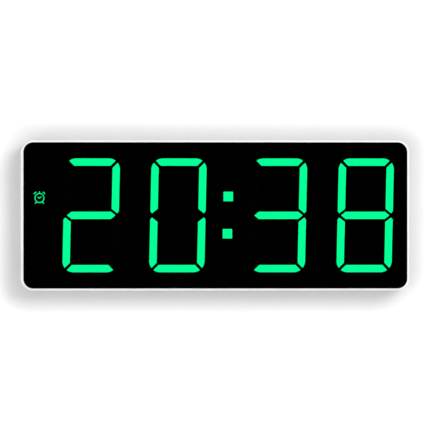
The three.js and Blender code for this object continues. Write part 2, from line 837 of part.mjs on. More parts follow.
const buttonXs = Array.from({ length: buttonCount }, (_, i) => buttonX + (i - (buttonCount - 1) / 2) * buttonPitch);
const buttonRecessFloor = rearY - buttonRecessDepth;
const buttonFloorInside = buttonRecessFloor - buttonFloor;
const switchTop = partBase + switchHeight;
const plungerTop = switchTop + plungerRise;
const plungerFoot = switchTop - plungerDepth;

// Push button: a slightly dished cap, a flange that keeps it in the cover and a stem that
// reaches down to its switch.
function pushButton(x) {
  const capBack = rearY - buttonSunk;
  const flangeRear = buttonFloorInside - seatGap;
  const flangeNear = flangeRear - buttonFlangeThickness;
  const dish = 0.25;
  const capRound = 0.4;
  return turned([
    [0, plungerTop + seatGap],
    [buttonStemRadius, plungerTop + seatGap],
    [buttonStemRadius, flangeNear],
    [buttonRadius + buttonFlange, flangeNear],
    [buttonRadius + buttonFlange, flangeRear],
    [buttonRadius, flangeRear],
    [buttonRadius, capBack - capRound],
    [buttonRadius - capRound, capBack],
    [0, capBack - dish],
  ], x, buttonZ, buttonSteps);
}

function switchBody(x) {
  const body = block(x, buttonZ, switchSize, switchSize, partBase, switchTop);
  const boreFloor = plungerFoot - buttonTravel - seatGap;
  return cut(body, rod(plungerRadius + pilotGap, boreFloor, switchTop + overCut, x, buttonZ, smallTurnSteps));
}

const switchPlunger = (x) => rod(plungerRadius, plungerFoot, plungerTop, x, buttonZ, smallTurnSteps);

const standSunk = 0.2;
const standBack = rearY - standSunk;
const standFront = standBack - standThickness;
const hingeY = standFront;
const standBottom = standHingeZ - standLength;

// The outline of the folded stand: a little narrower at the foot, whose corners are round.
function standOutline() {
  const half = standWidth / 2;
  const foot = standFootWidth / 2;
  const footRadius = 6;
  const sideRun = ((half - foot) / standLength) * footRadius;
  const shape = new THREE.Shape();
  shape.moveTo(half, standHingeZ);
  shape.lineTo(-half, standHingeZ);
  shape.lineTo(-foot - sideRun, standBottom + footRadius);
  shape.quadraticCurveTo(-foot, standBottom, -foot + footRadius, standBottom);
  shape.lineTo(foot - footRadius, standBottom);
  shape.quadraticCurveTo(foot, standBottom, foot + sideRun, standBottom + footRadius);
  return shape.getPoints(4).map((point) => [point.x, point.y]);
}

// Stand: a flat leg with an open window and a round knuckle along its hinge.
function standLeg() {
  const windowWidth = standFootWidth - 2 * standWindowMargin;
  const windowRadius = 4;
  const windowDrop = 9.8;
  const windowHeight = standLength - 3 * standWindowMargin;
  const windowZ = standHingeZ - windowDrop - windowHeight / 2;
  const opening = roundedPoints(windowWidth, windowHeight, windowRadius, 0, windowZ, 5);
  const plate = slab(standOutline(), standFront, standBack, [opening]);
  const knuckle = crossBar(standThickness, standWidth, hingeY, standHingeZ, 2 * smallTurnSteps);
  const bore = crossBar(standPinRadius + pilotGap, standWidth + 2 * overCut, hingeY, standHingeZ);
  return cut(join(plate, knuckle), bore);
}

const pinBoreLength = standWidth + 2 * (standSideGap + standPinReach);
const standPin = () => crossBar(standPinRadius, pinBoreLength - 2 * seatGap, hingeY, standHingeZ);

// Rear cover: the white shell that closes the back. It has a lip that locates in the front
// frame, screw posts, a recess for the folded stand, keyholes, the battery opening, the button
// recess, sound holes and the opening of the power inlet.
function rearCover() {
  const outside = loft([
    [coverFront, faceOutline(0)],
    ...roundEdge(rearEdgeRound, rearY, -1, 4, (inset) => faceOutline(inset)).reverse(),
  ]);
  const insideRound = rearEdgeRound - sideWall;
  const inside = loft([
    [coverFront - overCut, faceOutline(sideWall)],
    ...roundEdge(insideRound, rearInside, -1, 2, (inset) => faceOutline(sideWall + inset)).reverse(),
  ]);
  const rootHeight = 1.5;
  const rootOverlap = 0.3;
  const lipHole = [faceOutline(lipInset + lipThickness)];
  const lip = slab(faceOutline(lipInset), frameBack - lipHeight, coverFront + rootHeight, lipHole);
  const lipRoot = slab(faceOutline(sideWall - rootOverlap), coverFront, coverFront + rootHeight, lipHole);
  const wallFoot = rearInside + rearWall / 4;

  const posts = corners.map(([sx, sz]) => rod(coverPostRadius, coverFront, wallFoot, sx * screwX, sz * screwZ));
  const holdDowns = corners.map(([sx, sz]) => (
    rod(holdDownRadius, boardBack + seatGap, wallFoot, sx * holdDownX, sz * holdDownZ, smallTurnSteps)
  ));
  const screwHoles = corners.flatMap(([sx, sz]) => [
    rod(screwHeadRadius + seatGap, screwSeat, rearY + overCut, sx * screwX, sz * screwZ),
    rod(screwShankRadius + pilotGap, coverFront - overCut, screwSeat + overCut, sx * screwX, sz * screwZ, smallTurnSteps),
  ]);

  const recessOutline = grow(standOutline(), standSideGap);
  const recessFront = standFront - seatGap;
  const scoopZ = standBottom - fingerScoopDrop + fingerScoopRadius;
  const knuckleGap = 0.5;
  const hingeHalf = standThickness + knuckleGap;
  const hingeFront = hingeY - standThickness - seatGap;
  const standShell = [
    slab(grow(recessOutline, recessFloor), recessFront - recessFloor, wallFoot),
    rod(fingerScoopRadius + recessFloor, recessFront - recessFloor, wallFoot, 0, scoopZ),
    block(0, standHingeZ, pinBoreLength + 2 * recessFloor, 2 * (hingeHalf + recessFloor), hingeFront - recessFloor, wallFoot),
  ];
  const standRecess = [
    slab(recessOutline, recessFront, rearY + overCut),
    rod(fingerScoopRadius, recessFront, rearY + overCut, 0, scoopZ),
    block(0, standHingeZ, standWidth + 2 * standSideGap, 2 * hingeHalf, hingeFront, rearY + overCut),
    crossBar(standPinRadius + pilotGap, pinBoreLength, hingeY, standHingeZ),
  ];

  const keyholes = [-keyholeX, keyholeX].flatMap((x) => {
    const [from, to] = [rearInside - overCut, rearY + overCut];
    return [
      rod(keyholeHeadRadius, from, to, x, keyholeZ),
      block(x, keyholeZ + keyholeRise / 2, 2 * keyholeNeckRadius, keyholeRise, from, to),
      rod(keyholeNeckRadius, from, to, x, keyholeZ + keyholeRise, smallTurnSteps),
    ];
  });

  const shroud = turned([
    [shroudRadius, skirtFront],
    [shroudRadius + shroudWall, skirtFront],
    [shroudRadius + shroudWall, wallFoot],
    [shroudRadius, wallFoot],
    [shroudRadius, skirtFront],
  ], cellX, cellZ, wideTurnSteps);
  const notchPlay = 4;
  const notchSpread = doorTabAngle + notchPlay;
  const batteryOpening = [
    rod(skirtRadius + slideGap, rearInside - overCut, rearY + overCut, cellX, cellZ, wideTurnSteps),
    rod(doorRadius + slideGap, doorSeat, rearY + overCut, cellX, cellZ, wideTurnSteps),
    ...[-doorTurn, 180 - doorTurn].map((middle) => (
      slab(ringSector(skirtRadius, tabOuter + slideGap, middle, notchSpread), rearInside - overCut, rearY)
    )),
  ];

  const rowWidth = (buttonCount - 1) * buttonPitch + 2 * (buttonRadius + buttonRecessMargin);
  const rowHeight = 2 * (buttonRadius + buttonRecessMargin);
  const buttonRow = roundedPoints(rowWidth, rowHeight, rowHeight / 2, buttonX, buttonZ);
  const buttonPad = slab(grow(buttonRow, buttonFloor), buttonFloorInside, wallFoot);
  const buttonOpenings = [
    slab(buttonRow, buttonRecessFloor, rearY + overCut),
    ...buttonXs.map((x) => rod(buttonRadius + slideGap, buttonFloorInside - overCut, rearY, x, buttonZ, buttonSteps)),
  ];

  const socketRecess = roundedPoints(
    socketWidth + 2 * socketRecessMargin,
    socketHeight + 2 * socketRecessMargin,
    socketRecessMargin,
    socketX,
    socketZ,
  );
  const socketPad = slab(grow(socketRecess, recessFloor), socketFloor - recessFloor, wallFoot);
  const mouth = roundedPoints(
    socketWidth + 2 * slideGap,
    socketHeight + 2 * slideGap,
    socketHeight / 2 + slideGap,
    socketX,
    socketZ,
  );
  const socketOpenings = [
    slab(socketRecess, socketFloor, rearY + overCut),
    slab(mouth, socketFloor - recessFloor - overCut, rearY),
  ];

  const soundHoles = [[0, 0], ...Array.from({ length: 6 }, (_, i) => {
    const angle = degrees(60 * i);
    return [soundHoleRing * Math.cos(angle), soundHoleRing * Math.sin(angle)];
  })].map(([x, z]) => rod(soundHoleRadius, rearInside - overCut, rearY + overCut, buzzerX + x, buzzerZ + z, 8));

  const ribThickness = 1.2;
  const ribHeight = 3;
  const ribFrom = rearInside - ribHeight;
  const ribEnd = screwX;
  const ribUnderBuzzer = 2.5;
  const uprightHeight = clockHeight - 2 * (sideWall + rearEdgeRound);
  const longRib = (side, z) => (
    block(side * (coverRibX + ribEnd) / 2, z, ribEnd - coverRibX, ribThickness, ribFrom, wallFoot)
  );
  const ribs = [
    ...[-1, 1].map((side) => block(side * coverRibX, 0, ribThickness, uprightHeight, ribFrom, wallFoot)),
    longRib(1, buttonZ - rowHeight),
    longRib(-1, buzzerZ - buzzerRadius - ribUnderBuzzer),
  ];

  const shell = join(cut(outside, inside), lip, lipRoot, posts, holdDowns, standShell, shroud, buttonPad, socketPad, ribs);
  const openings = [standRecess, keyholes, batteryOpening, buttonOpenings, socketOpenings, soundHoles, screwHoles];
  return cut(shell, ...openings.flat());
}

// Every piece of the clock: its name, its solid and its material.
const buttonNames = ['set', 'up', 'down', 'alarm', 'dimmer'];
const pieces = [
  ['front_frame', frontFrame(), whiteShell],
  ['front_lens', frontLens(), smokedAcrylic],
  ['segment_mask', segmentMask(), blackFilm],
  ['light_box', lightBox(), lightBoxPlastic],
  ...digitCentres.map((centre, i) => [`digit_${i + 1}_diffuser`, digitDiffuser(centre), litPlastic]),
  ['colon_diffuser', colonDiffuser(), litPlastic],
  ['symbol_diffuser', symbolDiffuser(), litPlastic],
  ['display_board', displayBoard(), boardGreen],
  ['controller_chip', controllerChip(), blackPlastic],
  ['clock_crystal', clockCrystal(), brightSteel],
  ['smoothing_capacitor', smoothingCapacitor(), blackPlastic],
  ['buzzer', buzzer(), blackPlastic],
  ['power_socket', powerSocket(), brightSteel],
  ['cell_holder', cellHolder(), blackPlastic],
  ['cell_contact', cellContact(), brightSteel],
  ['coin_cell', coinCell(), brightSteel],
  ['rear_cover', rearCover(), whiteShell],
  ['battery_door', batteryDoor(), whiteShell],
  ['stand_leg', standLeg(), whiteShell],
  ['stand_pin', standPin(), brightSteel],
  ...buttonXs.flatMap((x, i) => [
    [`${buttonNames[i]}_button`, pushButton(x), whiteShell],
    [`${buttonNames[i]}_switch`, switchBody(x), blackPlastic],
    [`${buttonNames[i]}_plunger`, switchPlunger(x), blackPlastic],
  ]),
  ...corners.map(([sx, sz], i) => [
    `rear_screw_${i + 1}`,
    screw(sx * screwX, sz * screwZ, screwSeat, screwLength, screwShankRadius, screwHeadRadius, screwHeadHeight),
    blackScrew,
  ]),
  ...boardScrewXs.flatMap((x, i) => [1, -1].map((side, j) => [
    `board_screw_${2 * i + j + 1}`,
    screw(
      x,
      side * boardScrewZ,
      boardScrewSeat,
      boardScrewLength,
      boardScrewRadius,
      boardScrewHeadRadius,
      boardScrewHeadHeight,
    ),
    brightSteel,
  ])),
];

const clock = new THREE.Group();
clock.position.z = clockHeight / 2;
pieces.forEach(([name, solid, material]) => {
  const mesh = new THREE.Mesh(geometryOf(solid), material);
  mesh.name = name;
  clock.add(mesh);
});

export default clock;
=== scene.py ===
import json
import math

import bmesh
import bpy
import numpy as np
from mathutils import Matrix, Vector

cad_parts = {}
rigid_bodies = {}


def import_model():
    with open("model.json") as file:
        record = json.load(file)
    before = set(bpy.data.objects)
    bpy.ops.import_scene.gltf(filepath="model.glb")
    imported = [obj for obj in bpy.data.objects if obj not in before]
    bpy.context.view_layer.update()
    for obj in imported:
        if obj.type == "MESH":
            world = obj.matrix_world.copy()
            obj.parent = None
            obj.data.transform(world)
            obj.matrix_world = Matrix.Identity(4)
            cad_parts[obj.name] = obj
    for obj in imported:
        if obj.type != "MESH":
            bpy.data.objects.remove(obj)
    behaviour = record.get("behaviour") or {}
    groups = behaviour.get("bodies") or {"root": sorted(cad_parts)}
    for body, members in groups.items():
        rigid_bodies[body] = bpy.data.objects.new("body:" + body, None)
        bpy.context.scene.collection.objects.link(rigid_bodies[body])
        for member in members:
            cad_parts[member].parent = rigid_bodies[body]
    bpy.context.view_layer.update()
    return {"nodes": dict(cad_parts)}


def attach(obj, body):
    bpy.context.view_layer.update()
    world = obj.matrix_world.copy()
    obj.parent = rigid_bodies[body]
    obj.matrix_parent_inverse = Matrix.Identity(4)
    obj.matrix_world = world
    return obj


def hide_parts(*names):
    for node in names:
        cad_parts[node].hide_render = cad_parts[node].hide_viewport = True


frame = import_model()
print("frame loaded,", len(frame["nodes"]), "nodes")

# Sizes are in millimetres from the centre of the face: x to the right, y to the back, z up.
# Meshes are put into metres, with the clock standing on z = 0.
mm = 0.001
apart = 0.01  # keeps two faces of a cut from lying in one plane
cutPast = 1.0  # how far a cutter reaches past a surface
overlap = 0.5  # how far shapes that are joined or cut together reach into each other
leastRadius = 0.5  # of a corner of the outline, however far it is drawn in
sameWithin = 0.001  # points nearer to each other than this are one

housing = {
    "width": 250.0,
    "height": 96.8,
    "depth": 27.0,
    "cornerRadius": 7.6,
    "frontRound": 1.0,
    "rearRound": 3.0,
    "splitEdge": 0.2,  # edge of both halves where they meet
    "sideWall": 1.8,
    "frameBack": 4.0,
    "coverFront": 4.3,
    "screws": (117.0, 40.4),
    "cornerSteps": 14,  # points on each quarter turn of the outline
}
frontY = -housing["depth"] / 2
rearY = housing["depth"] / 2
midHeight = housing["height"] / 2
signs = np.array([[1, 1], [-1, 1], [-1, -1], [1, -1]], dtype=float)
screwPlaces = signs * housing["screws"]


# A closed outline of a rectangle with round corners: on each corner, the centre of the turn
# plus the radius times the cosine and sine of a quarter turn.
def roundedOutline(width, height, radius, centre=(0.0, 0.0), steps=6):
    angles = np.radians(90 * (np.arange(4)[:, None] + np.linspace(0, 1, steps + 1)[None, :]))
    middles = signs[:, None, :] * (np.array([width, height]) / 2 - radius)
    turns = radius * np.stack([np.cos(angles), np.sin(angles)], axis=-1)
    return (middles + turns).reshape(-1, 2) + np.array(centre)


# The outline of the clock drawn in by an inset.
def faceOutline(inset, radius=None):
    if radius is None:
        radius = max(housing["cornerRadius"] - inset, leastRadius)
    width, height = np.array([housing["width"], housing["height"]]) - 2 * inset
    return roundedOutline(width, height, radius, steps=housing["cornerSteps"])


# A circle of so many steps: centre plus radius times cosine and sine of the whole turn.
def circle(radius, centre=(0.0, 0.0), steps=48):
    turn = np.linspace(0, 2 * np.pi, steps, endpoint=False)
    return radius * np.stack([np.cos(turn), np.sin(turn)], axis=-1) + np.array(centre)


# A quarter turn in equal steps, as pairs of 1 - sine and 1 - cosine.
def quarterTurn(steps):
    turn = np.radians(np.linspace(0, 90, steps + 1))
    return np.stack([1 - np.sin(turn), 1 - np.cos(turn)], axis=-1)


# A convex outline with each edge moved outward by a distance along its normal; each corner is
# where the two moved edges meet.
def grown(points, distance):
    ahead = np.roll(points, -1, axis=0) - points
    ahead /= np.linalg.norm(ahead, axis=1, keepdims=True)
    normal = np.stack([ahead[:, 1], -ahead[:, 0]], axis=-1)
    reach = (normal * points).sum(axis=1) + distance
    before, beforeReach = np.roll(normal, 1, axis=0), np.roll(reach, 1)
    cross = before[:, 0] * normal[:, 1] - before[:, 1] * normal[:, 0]
    x = (beforeReach * normal[:, 1] - reach * before[:, 1]) / cross
    z = (reach * before[:, 0] - beforeReach * normal[:, 0]) / cross
    return np.stack([x, z], axis=-1)


# An outline on the face lifted to a level of depth, as points of x, y and z.
def atLevel(outline, level):
    return np.insert(np.asarray(outline, dtype=float), 1, level, axis=1)


# The skin over rings of points: ring r and ring r + 1 are joined point by point with four-sided
# faces. A closed skin runs from the last ring back to the first, an open one gets two flat ends.
def skin(rings, closed=False):
    rings = np.asarray(rings, dtype=float)
    count, around = rings.shape[:2]
    index = np.arange(count * around).reshape(count, around)
    here = index if closed else index[:-1]
    there = np.roll(index, -1, axis=0) if closed else index[1:]
    corners = [here, np.roll(here, -1, axis=1), np.roll(there, -1, axis=1), there]
    faces = np.stack(corners, axis=-1).reshape(-1, 4).tolist()
    if not closed:
        faces += [index[0][::-1].tolist(), index[-1].tolist()]
    return rings.reshape(-1, 3), faces


# The four corners of a section between two radii or insets and two levels.
def boxSection(first, second, front, back):
    return [(first, front), (second, front), (second, back), (first, back)]


# A section carried round the outline of the clock. It lists inset, level and, where it isn't
# the usual one, the radius of the corners.
def carriedRound(section, closed=True):
    rings = [atLevel(faceOutline(inset, *radius), level) for inset, level, *radius in section]
    return skin(rings, closed)


# A plate between two levels, from one outline, with both edges rounded by a small radius.
def plate(outline, front, back, edge=0.0, steps=3):
    if edge <= 0:
        return skin([atLevel(outline, front), atLevel(outline, back)])
    turn = edge * quarterTurn(steps)
    rings = [atLevel(grown(outline, -inset), front + rise) for inset, rise in turn]
    rings += [atLevel(grown(outline, -inset), back - rise) for inset, rise in turn[::-1]]
    return skin(rings)


# A cutter that goes right through what lies between two levels.
def through(outline, front, back):
    return plate(outline, front - cutPast, back + cutPast)


# The shape that opens a surface: straight up to just under it, then flared along a quarter
# turn, so that the edge it leaves is round.
def mouth(outline, floor, surface=rearY, edge=0.3, steps=4):
    flare = edge * quarterTurn(steps)
    levels = [floor, *(surface - flare[:, 0]), surface + cutPast]
    growth = [0.0, *flare[:, 1], edge]
    return skin([atLevel(grown(outline, g), level) for g, level in zip(growth, levels)])


# A turned piece about a line along y: the profile lists radius and level, and every point of
# it is carried round the whole turn.
def turned(profile, centre, steps=48, closed=False):
    rings = [atLevel(circle(radius, centre, steps), level) for radius, level in profile]
    return skin(rings, closed)


def block(x, z, width, height, front, back):
    outline = np.array([x, z]) + signs * np.array([width, height]) / 2
    return skin([atLevel(outline, front), atLevel(outline, back)])


# A round bar along x: a circle in the plane across it, at both of its ends.
def crossBar(radius, length, y, z, steps=32):
    section = circle(radius, (y, z), steps)
    return skin([np.insert(section, 0, end, axis=1) for end in (-length / 2, length / 2)])


# Points along an arc: centre plus radius times cosine and sine of the angles, in degrees.
def arcLine(centre, radius, start, end, steps=16):
    turn = np.radians(np.linspace(start, end, steps))
    return np.array(centre) + radius * np.stack([np.cos(turn), np.sin(turn)], axis=-1)


# Puts parts (points in millimetres, faces, index of the material) into one mesh in metres,
# joins what lies on the same place and turns the faces outward.
def meshOf(name, parts):
    points, faces, indices, offset = [], [], [], 0
    for partPoints, partFaces, *index in parts:
        points.append(partPoints)
        faces += [[corner + offset for corner in face] for face in partFaces]
        indices += (index or [0]) * len(partFaces)
        offset += len(partPoints)
    mesh = bpy.data.meshes.new(name)
    placed = (np.concatenate(points) + [0, 0, midHeight]) * mm
    mesh.from_pydata(placed.tolist(), [], faces)
    mesh.polygons.foreach_set("material_index", np.array(indices, dtype=np.int32))
    work = bmesh.new()
    work.from_mesh(mesh)
    bmesh.ops.remove_doubles(work, verts=work.verts, dist=sameWithin * mm)
    bmesh.ops.recalc_face_normals(work, faces=work.faces)
    work.to_mesh(mesh)
    work.free()
    return mesh


def makeObject(name, mesh):
    obj = bpy.data.objects.new(name, mesh)
    bpy.context.scene.collection.objects.link(obj)
    return obj


def makePiece(name, parts):
    return makeObject(name, meshOf(name, parts))


# Shades a mesh smooth but for its sharp edges, and lets the larger faces set the normals.
def smoothed(obj, angle=35):
    obj.data.shade_smooth()
    obj.data.set_sharp_from_angle(angle=math.radians(angle))
    weight = obj.modifiers.new("normals", "WEIGHTED_NORMAL")
    weight.keep_sharp = True
    return obj


# Cuts the cutters out of a body, or joins them on, and gives the object a clean mesh.
def carve(obj, parts, operation="DIFFERENCE"):
    holder = bpy.data.collections.new("cutters")
    bpy.context.scene.collection.children.link(holder)
    for index, part in enumerate(parts):
        holder.objects.link(bpy.data.objects.new(f"cutter{index}", meshOf("cutter", [part])))
    boolean = obj.modifiers.new("carve", "BOOLEAN")
    boolean.operation = operation
    boolean.operand_type = "COLLECTION"
    boolean.collection = holder
    boolean.solver = "EXACT"
    graph = bpy.context.evaluated_depsgraph_get()
    made = bpy.data.meshes.new_from_object(obj.evaluated_get(graph))
    obj.modifiers.clear()
    obj.data = made
    for cutter in list(holder.objects):
        bpy.data.objects.remove(cutter)
    bpy.data.collections.remove(holder)


# Gives a finished piece its looks and its body, and hides the node it stands for.
def finishPiece(obj, node, looks=("whiteShell",), body="housing"):
    for look in looks:
        obj.data.materials.append(finish[look])
    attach(obj, body)
    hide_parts(node)


# Node helpers: a node with its settings, and a socket fed by another socket or by a value.
def addNode(tree, kind, **settings):
    node = tree.nodes.new(kind)
    for name, value in settings.items():
        setattr(node, name, value)
    return node


def feed(tree, socket, value):
    if isinstance(value, bpy.types.NodeSocket):
        tree.links.new(value, socket)
    else:
        socket.default_value = value


def feedAll(tree, sockets, values):
    for name, value in values.items():
        feed(tree, sockets[name], value)


def fedNode(tree, kind, inputs, **settings):
    node = addNode(tree, kind, **settings)
    feedAll(tree, node.inputs, inputs)
    return node


def noiseOf(tree, place, scale, detail=3.0, roughness=0.5):
    inputs = {"Vector": place, "Scale": scale, "Detail": detail, "Roughness": roughness}
    return fedNode(tree, "ShaderNodeTexNoise", inputs).outputs["Fac"]


# A value from the range low to high, brought to the range start to end.
def ranged(tree, value, low, high, start, end):
    inputs = {"Value": value, "From Min": low, "From Max": high, "To Min": start, "To Max": end}
    return fedNode(tree, "ShaderNodeMapRange", inputs).outputs["Result"]


def mathOf(tree, operation, first, second=0.0):
    return fedNode(tree, "ShaderNodeMath", {0: first, 1: second}, operation=operation).outputs[0]


def mixedColour(tree, factor, first, second, blend="MIX"):
    inputs = {0: factor, 6: first, 7: second}
    node = fedNode(tree, "ShaderNodeMix", inputs, data_type="RGBA", blend_type=blend)
    return node.outputs[2]


# A colour darkened by a value from 0 to 1, the same in all three channels.
def darkened(tree, colour, value):
    grey = fedNode(tree, "ShaderNodeCombineColor", {"Red": value, "Green": value, "Blue": value})
    return mixedColour(tree, 1.0, colour, grey.outputs[0], "MULTIPLY")


def objectPlace(tree):
    return addNode(tree, "ShaderNodeTexCoord").outputs["Object"]


colourKind, valueKind = "NodeSocketColor", "NodeSocketFloat"


# A node group, from the names and kinds of what goes in and comes out.
def newGroup(name, given, made):
    group = bpy.data.node_groups.new(name, "ShaderNodeTree")
    for side, sockets in (("INPUT", given), ("OUTPUT", made)):
        for label, kind in sockets.items():
            group.interface.new_socket(name=label, in_out=side, socket_type=kind)
    enter, leave = addNode(group, "NodeGroupInput"), addNode(group, "NodeGroupOutput")
    return group, enter.outputs, leave.inputs


texture = {
    "driftScale": 38.0,  # slow change of colour and gloss
    "noiseSpan": (0.3, 0.7),  # where nearly all of the noise lies
    "speck": 0.08,  # how far the grain changes the roughness
    "roughnessDrift": 0.06,
    "grainDepth": 0.00002,
    "scuffSpan": (0.66, 0.72),
    "scuffLines": ((0.4, (1.0, 1.0, 14.0)), (1.9, (14.0, 1.0, 1.0))),  # angle and stretch
    "scuffScale": 110.0,
    "scuffRoughness": 0.5,
}


# Moulded plastic: a slow drift of the colour, a fine grain left by the mould and a roughness
# that changes a little from place to place.
def makeMouldedGroup():
    given = {"Colour": colourKind, "Drift": valueKind, "Grain Scale": valueKind}
    given["Roughness"] = valueKind
    made = {"Colour": colourKind, "Roughness": valueKind, "Height": valueKind}
    group, enter, leave = newGroup("mouldedSurface", given, made)
    place = objectPlace(group)
    slow = noiseOf(group, place, texture["driftScale"], 4.0)
    grain = noiseOf(group, place, enter["Grain Scale"], 2.0, 0.6)
    darkest = mathOf(group, "SUBTRACT", 1.0, enter["Drift"])
    shade = ranged(group, slow, *texture["noiseSpan"], 1.0, darkest)
    feed(group, leave["Colour"], darkened(group, enter["Colour"], shade))
    drift = mathOf(group, "SUBTRACT", slow, 0.5)
    spread = mathOf(group, "MULTIPLY", drift, texture["roughnessDrift"])
    speck = mathOf(group, "MULTIPLY", mathOf(group, "SUBTRACT", grain, 0.5), texture["speck"])
    change = mathOf(group, "ADD", spread, speck)
    feed(group, leave["Roughness"], mathOf(group, "ADD", enter["Roughness"], change))
    feed(group, leave["Height"], grain)
    return group


# Fine scratches and dust: thin stretched noise in two directions, as a mask from 0 to 1.
def makeScuffGroup():
    given, made = {"Amount": valueKind, "Scale": valueKind}, {"Mask": valueKind}
    group, enter, leave = newGroup("fineScuffs", given, made)
    place = objectPlace(group)
    masks = []
    for turn, stretch in texture["scuffLines"]:
        inputs = {"Vector": place, "Rotation": (0.0, turn, 0.0), "Scale": stretch}
        mapping = fedNode(group, "ShaderNodeMapping", inputs)
        noise = noiseOf(group, mapping.outputs["Vector"], enter["Scale"], 2.0)
        masks.append(ranged(group, noise, *texture["scuffSpan"], 0.0, 1.0))
    both = mathOf(group, "MAXIMUM", *masks)
    feed(group, leave["Mask"], mathOf(group, "MULTIPLY", both, enter["Amount"]))
    return group


mouldedGroup = makeMouldedGroup()
scuffGroup = makeScuffGroup()


def newMaterial(name):
    material = bpy.data.materials.new(name)
    material.use_nodes = True
    return material, material.node_tree, material.node_tree.nodes["Principled BSDF"].inputs


# A moulded plastic, painted or metal finish: colour, gloss and grain come from the shared group.
def plasticMaterial(
    name, colour, roughness, drift=0.03, grain=2600.0, bump=0.25, scuffs=0.0, metallic=0.0,
    gloss=0.5,
):
    material, tree, shader = newMaterial(name)
    inputs = {"Colour": (*colour, 1), "Roughness": roughness, "Drift": drift, "Grain Scale": grain}
    surface = fedNode(tree, "ShaderNodeGroup", inputs, node_tree=mouldedGroup).outputs
    rough = surface["Roughness"]
    if scuffs > 0:
        inputs = {"Amount": scuffs, "Scale": texture["scuffScale"]}
        mask = fedNode(tree, "ShaderNodeGroup", inputs, node_tree=scuffGroup).outputs["Mask"]
        more = mathOf(tree, "MULTIPLY", mask, texture["scuffRoughness"])
        rough = mathOf(tree, "ADD", rough, more)
    inputs = {"Distance": texture["grainDepth"], "Strength": bump, "Height": surface["Height"]}
    feedAll(tree, shader, {
        "Normal": fedNode(tree, "ShaderNodeBump", inputs).outputs["Normal"],
        "Base Color": surface["Colour"],
        "Roughness": rough,
        "Metallic": metallic,
        "Specular IOR Level": gloss,
    })
    return material


finishes = {
    "whiteShell": dict(colour=(0.9, 0.905, 0.9), roughness=0.6, drift=0.02, scuffs=0.12, gloss=0.4),
    "blackPrint": dict(colour=(0.001, 0.001, 0.001), roughness=0.7, bump=0.1, gloss=0.0),
    "blackFilm": dict(colour=(0.002, 0.002, 0.002), roughness=0.85, bump=0.1, gloss=0.05),
    "unlitSegments": dict(colour=(0.008, 0.009, 0.009), roughness=0.6, grain=3000.0, gloss=0.1),
    "boxPlastic": dict(colour=(0.8, 0.81, 0.8), roughness=0.5, drift=0.04),
    "boardGreen": dict(colour=(0.012, 0.1, 0.03), roughness=0.35, drift=0.25, grain=900.0),
    "blackPlastic": dict(colour=(0.012, 0.012, 0.013), roughness=0.4, scuffs=0.1),
    "brightSteel": dict(colour=(0.6, 0.61, 0.63), roughness=0.25, metallic=1.0, scuffs=0.3),
    "darkScrew": dict(colour=(0.06, 0.06, 0.065), roughness=0.35, metallic=1.0),
    "contactGold": dict(colour=(0.85, 0.6, 0.25), roughness=0.3, metallic=1.0),
}
finish = {name: plasticMaterial(name, **values) for name, values in finishes.items()}

smoked = {
    "clear": 0.12,  # share of the light that the lens lets through
    "tints": (0.0001, 0.0003),
    "tintScale": 25.0,
    "roughness": 0.02,
    "ior": 1.49,
    "scuffs": 0.05,
    "scuffScale": 70.0,
    "scuffRoughness": 0.4,
}


# The smoked lens: deep black acrylic, glossy in front, with a slow drift of the tint and a trace
# of fine scuffs. Light crosses two faces, so each lets the root of the lens's share through.
def lensMaterial():
    material, tree, shader = newMaterial("smokedLens")
    slow = noiseOf(tree, objectPlace(tree), smoked["tintScale"], 2.0)
    tints = [(tint, tint, tint, 1) for tint in smoked["tints"]]
    inputs = {"Amount": smoked["scuffs"], "Scale": smoked["scuffScale"]}
    mask = fedNode(tree, "ShaderNodeGroup", inputs, node_tree=scuffGroup).outputs["Mask"]
    more = mathOf(tree, "MULTIPLY", mask, smoked["scuffRoughness"])
    feedAll(tree, shader, {
        "Base Color": mixedColour(tree, slow, *tints),
        "Roughness": mathOf(tree, "ADD", more, smoked["roughness"]),
        "IOR": smoked["ior"],
        "Alpha": 1.0 - math.sqrt(smoked["clear"]),
    })
    return material


lit = {
    "colour": (0.0003, 0.982, 0.287, 1),  # light green with a little blue
    "strength": 1.1,  # what is left of the glow in front of the lens
    "dimmest": 0.96,
    "cloudScale": 160.0,
    "grainScale": 3000.0,
    "body": ((0.02, 0.1, 0.05, 1), (0.03, 0.12, 0.06, 1)),
    "roughness": 0.55,
}


# A lit segment: milky plastic that glows, a touch dimmer away from the lamps behind it.
def litMaterial():
    material, tree, shader = newMaterial("litSegments")
    place = objectPlace(tree)
    cloud = noiseOf(tree, place, lit["cloudScale"], 1.0)
    level = ranged(tree, cloud, *texture["noiseSpan"], lit["dimmest"], 1.0)
    grain = noiseOf(tree, place, lit["grainScale"], 1.0)
    feedAll(tree, shader, {
        "Emission Color": darkened(tree, lit["colour"], level),
        "Emission Strength": lit["strength"] / smoked["clear"],
        "Base Color": mixedColour(tree, grain, *lit["body"]),
        "Roughness": lit["roughness"],
    })
    return material


finish["smokedLens"] = lensMaterial()
finish["litSegments"] = litMaterial()
print("materials ready")

frontFrame = {
    "rimWidth": 1.25,
    "rimEdge": 0.12,  # rounding of the edge beside the lens
    "ledgeInset": 5.8,
    "ledgeRadius": 18.0,
    "ledgeFront": -10.8,
    "ledgeBack": -9.3,
    "rootFront": -9.5,  # where bosses and ribs start, inside the ledge
    "bossRadius": 3.0,
    "bossBore": 1.6,
    "boreFront": -6.7,
    "ribBack": 0.1,
    "ribWidth": 1.2,
    "ribs": (-70, 0, 70),
    "ribPlace": (45.1, 3.4),  # middle and reach of the ribs above and below
    "sideRib": (121.9, 3.0),
}


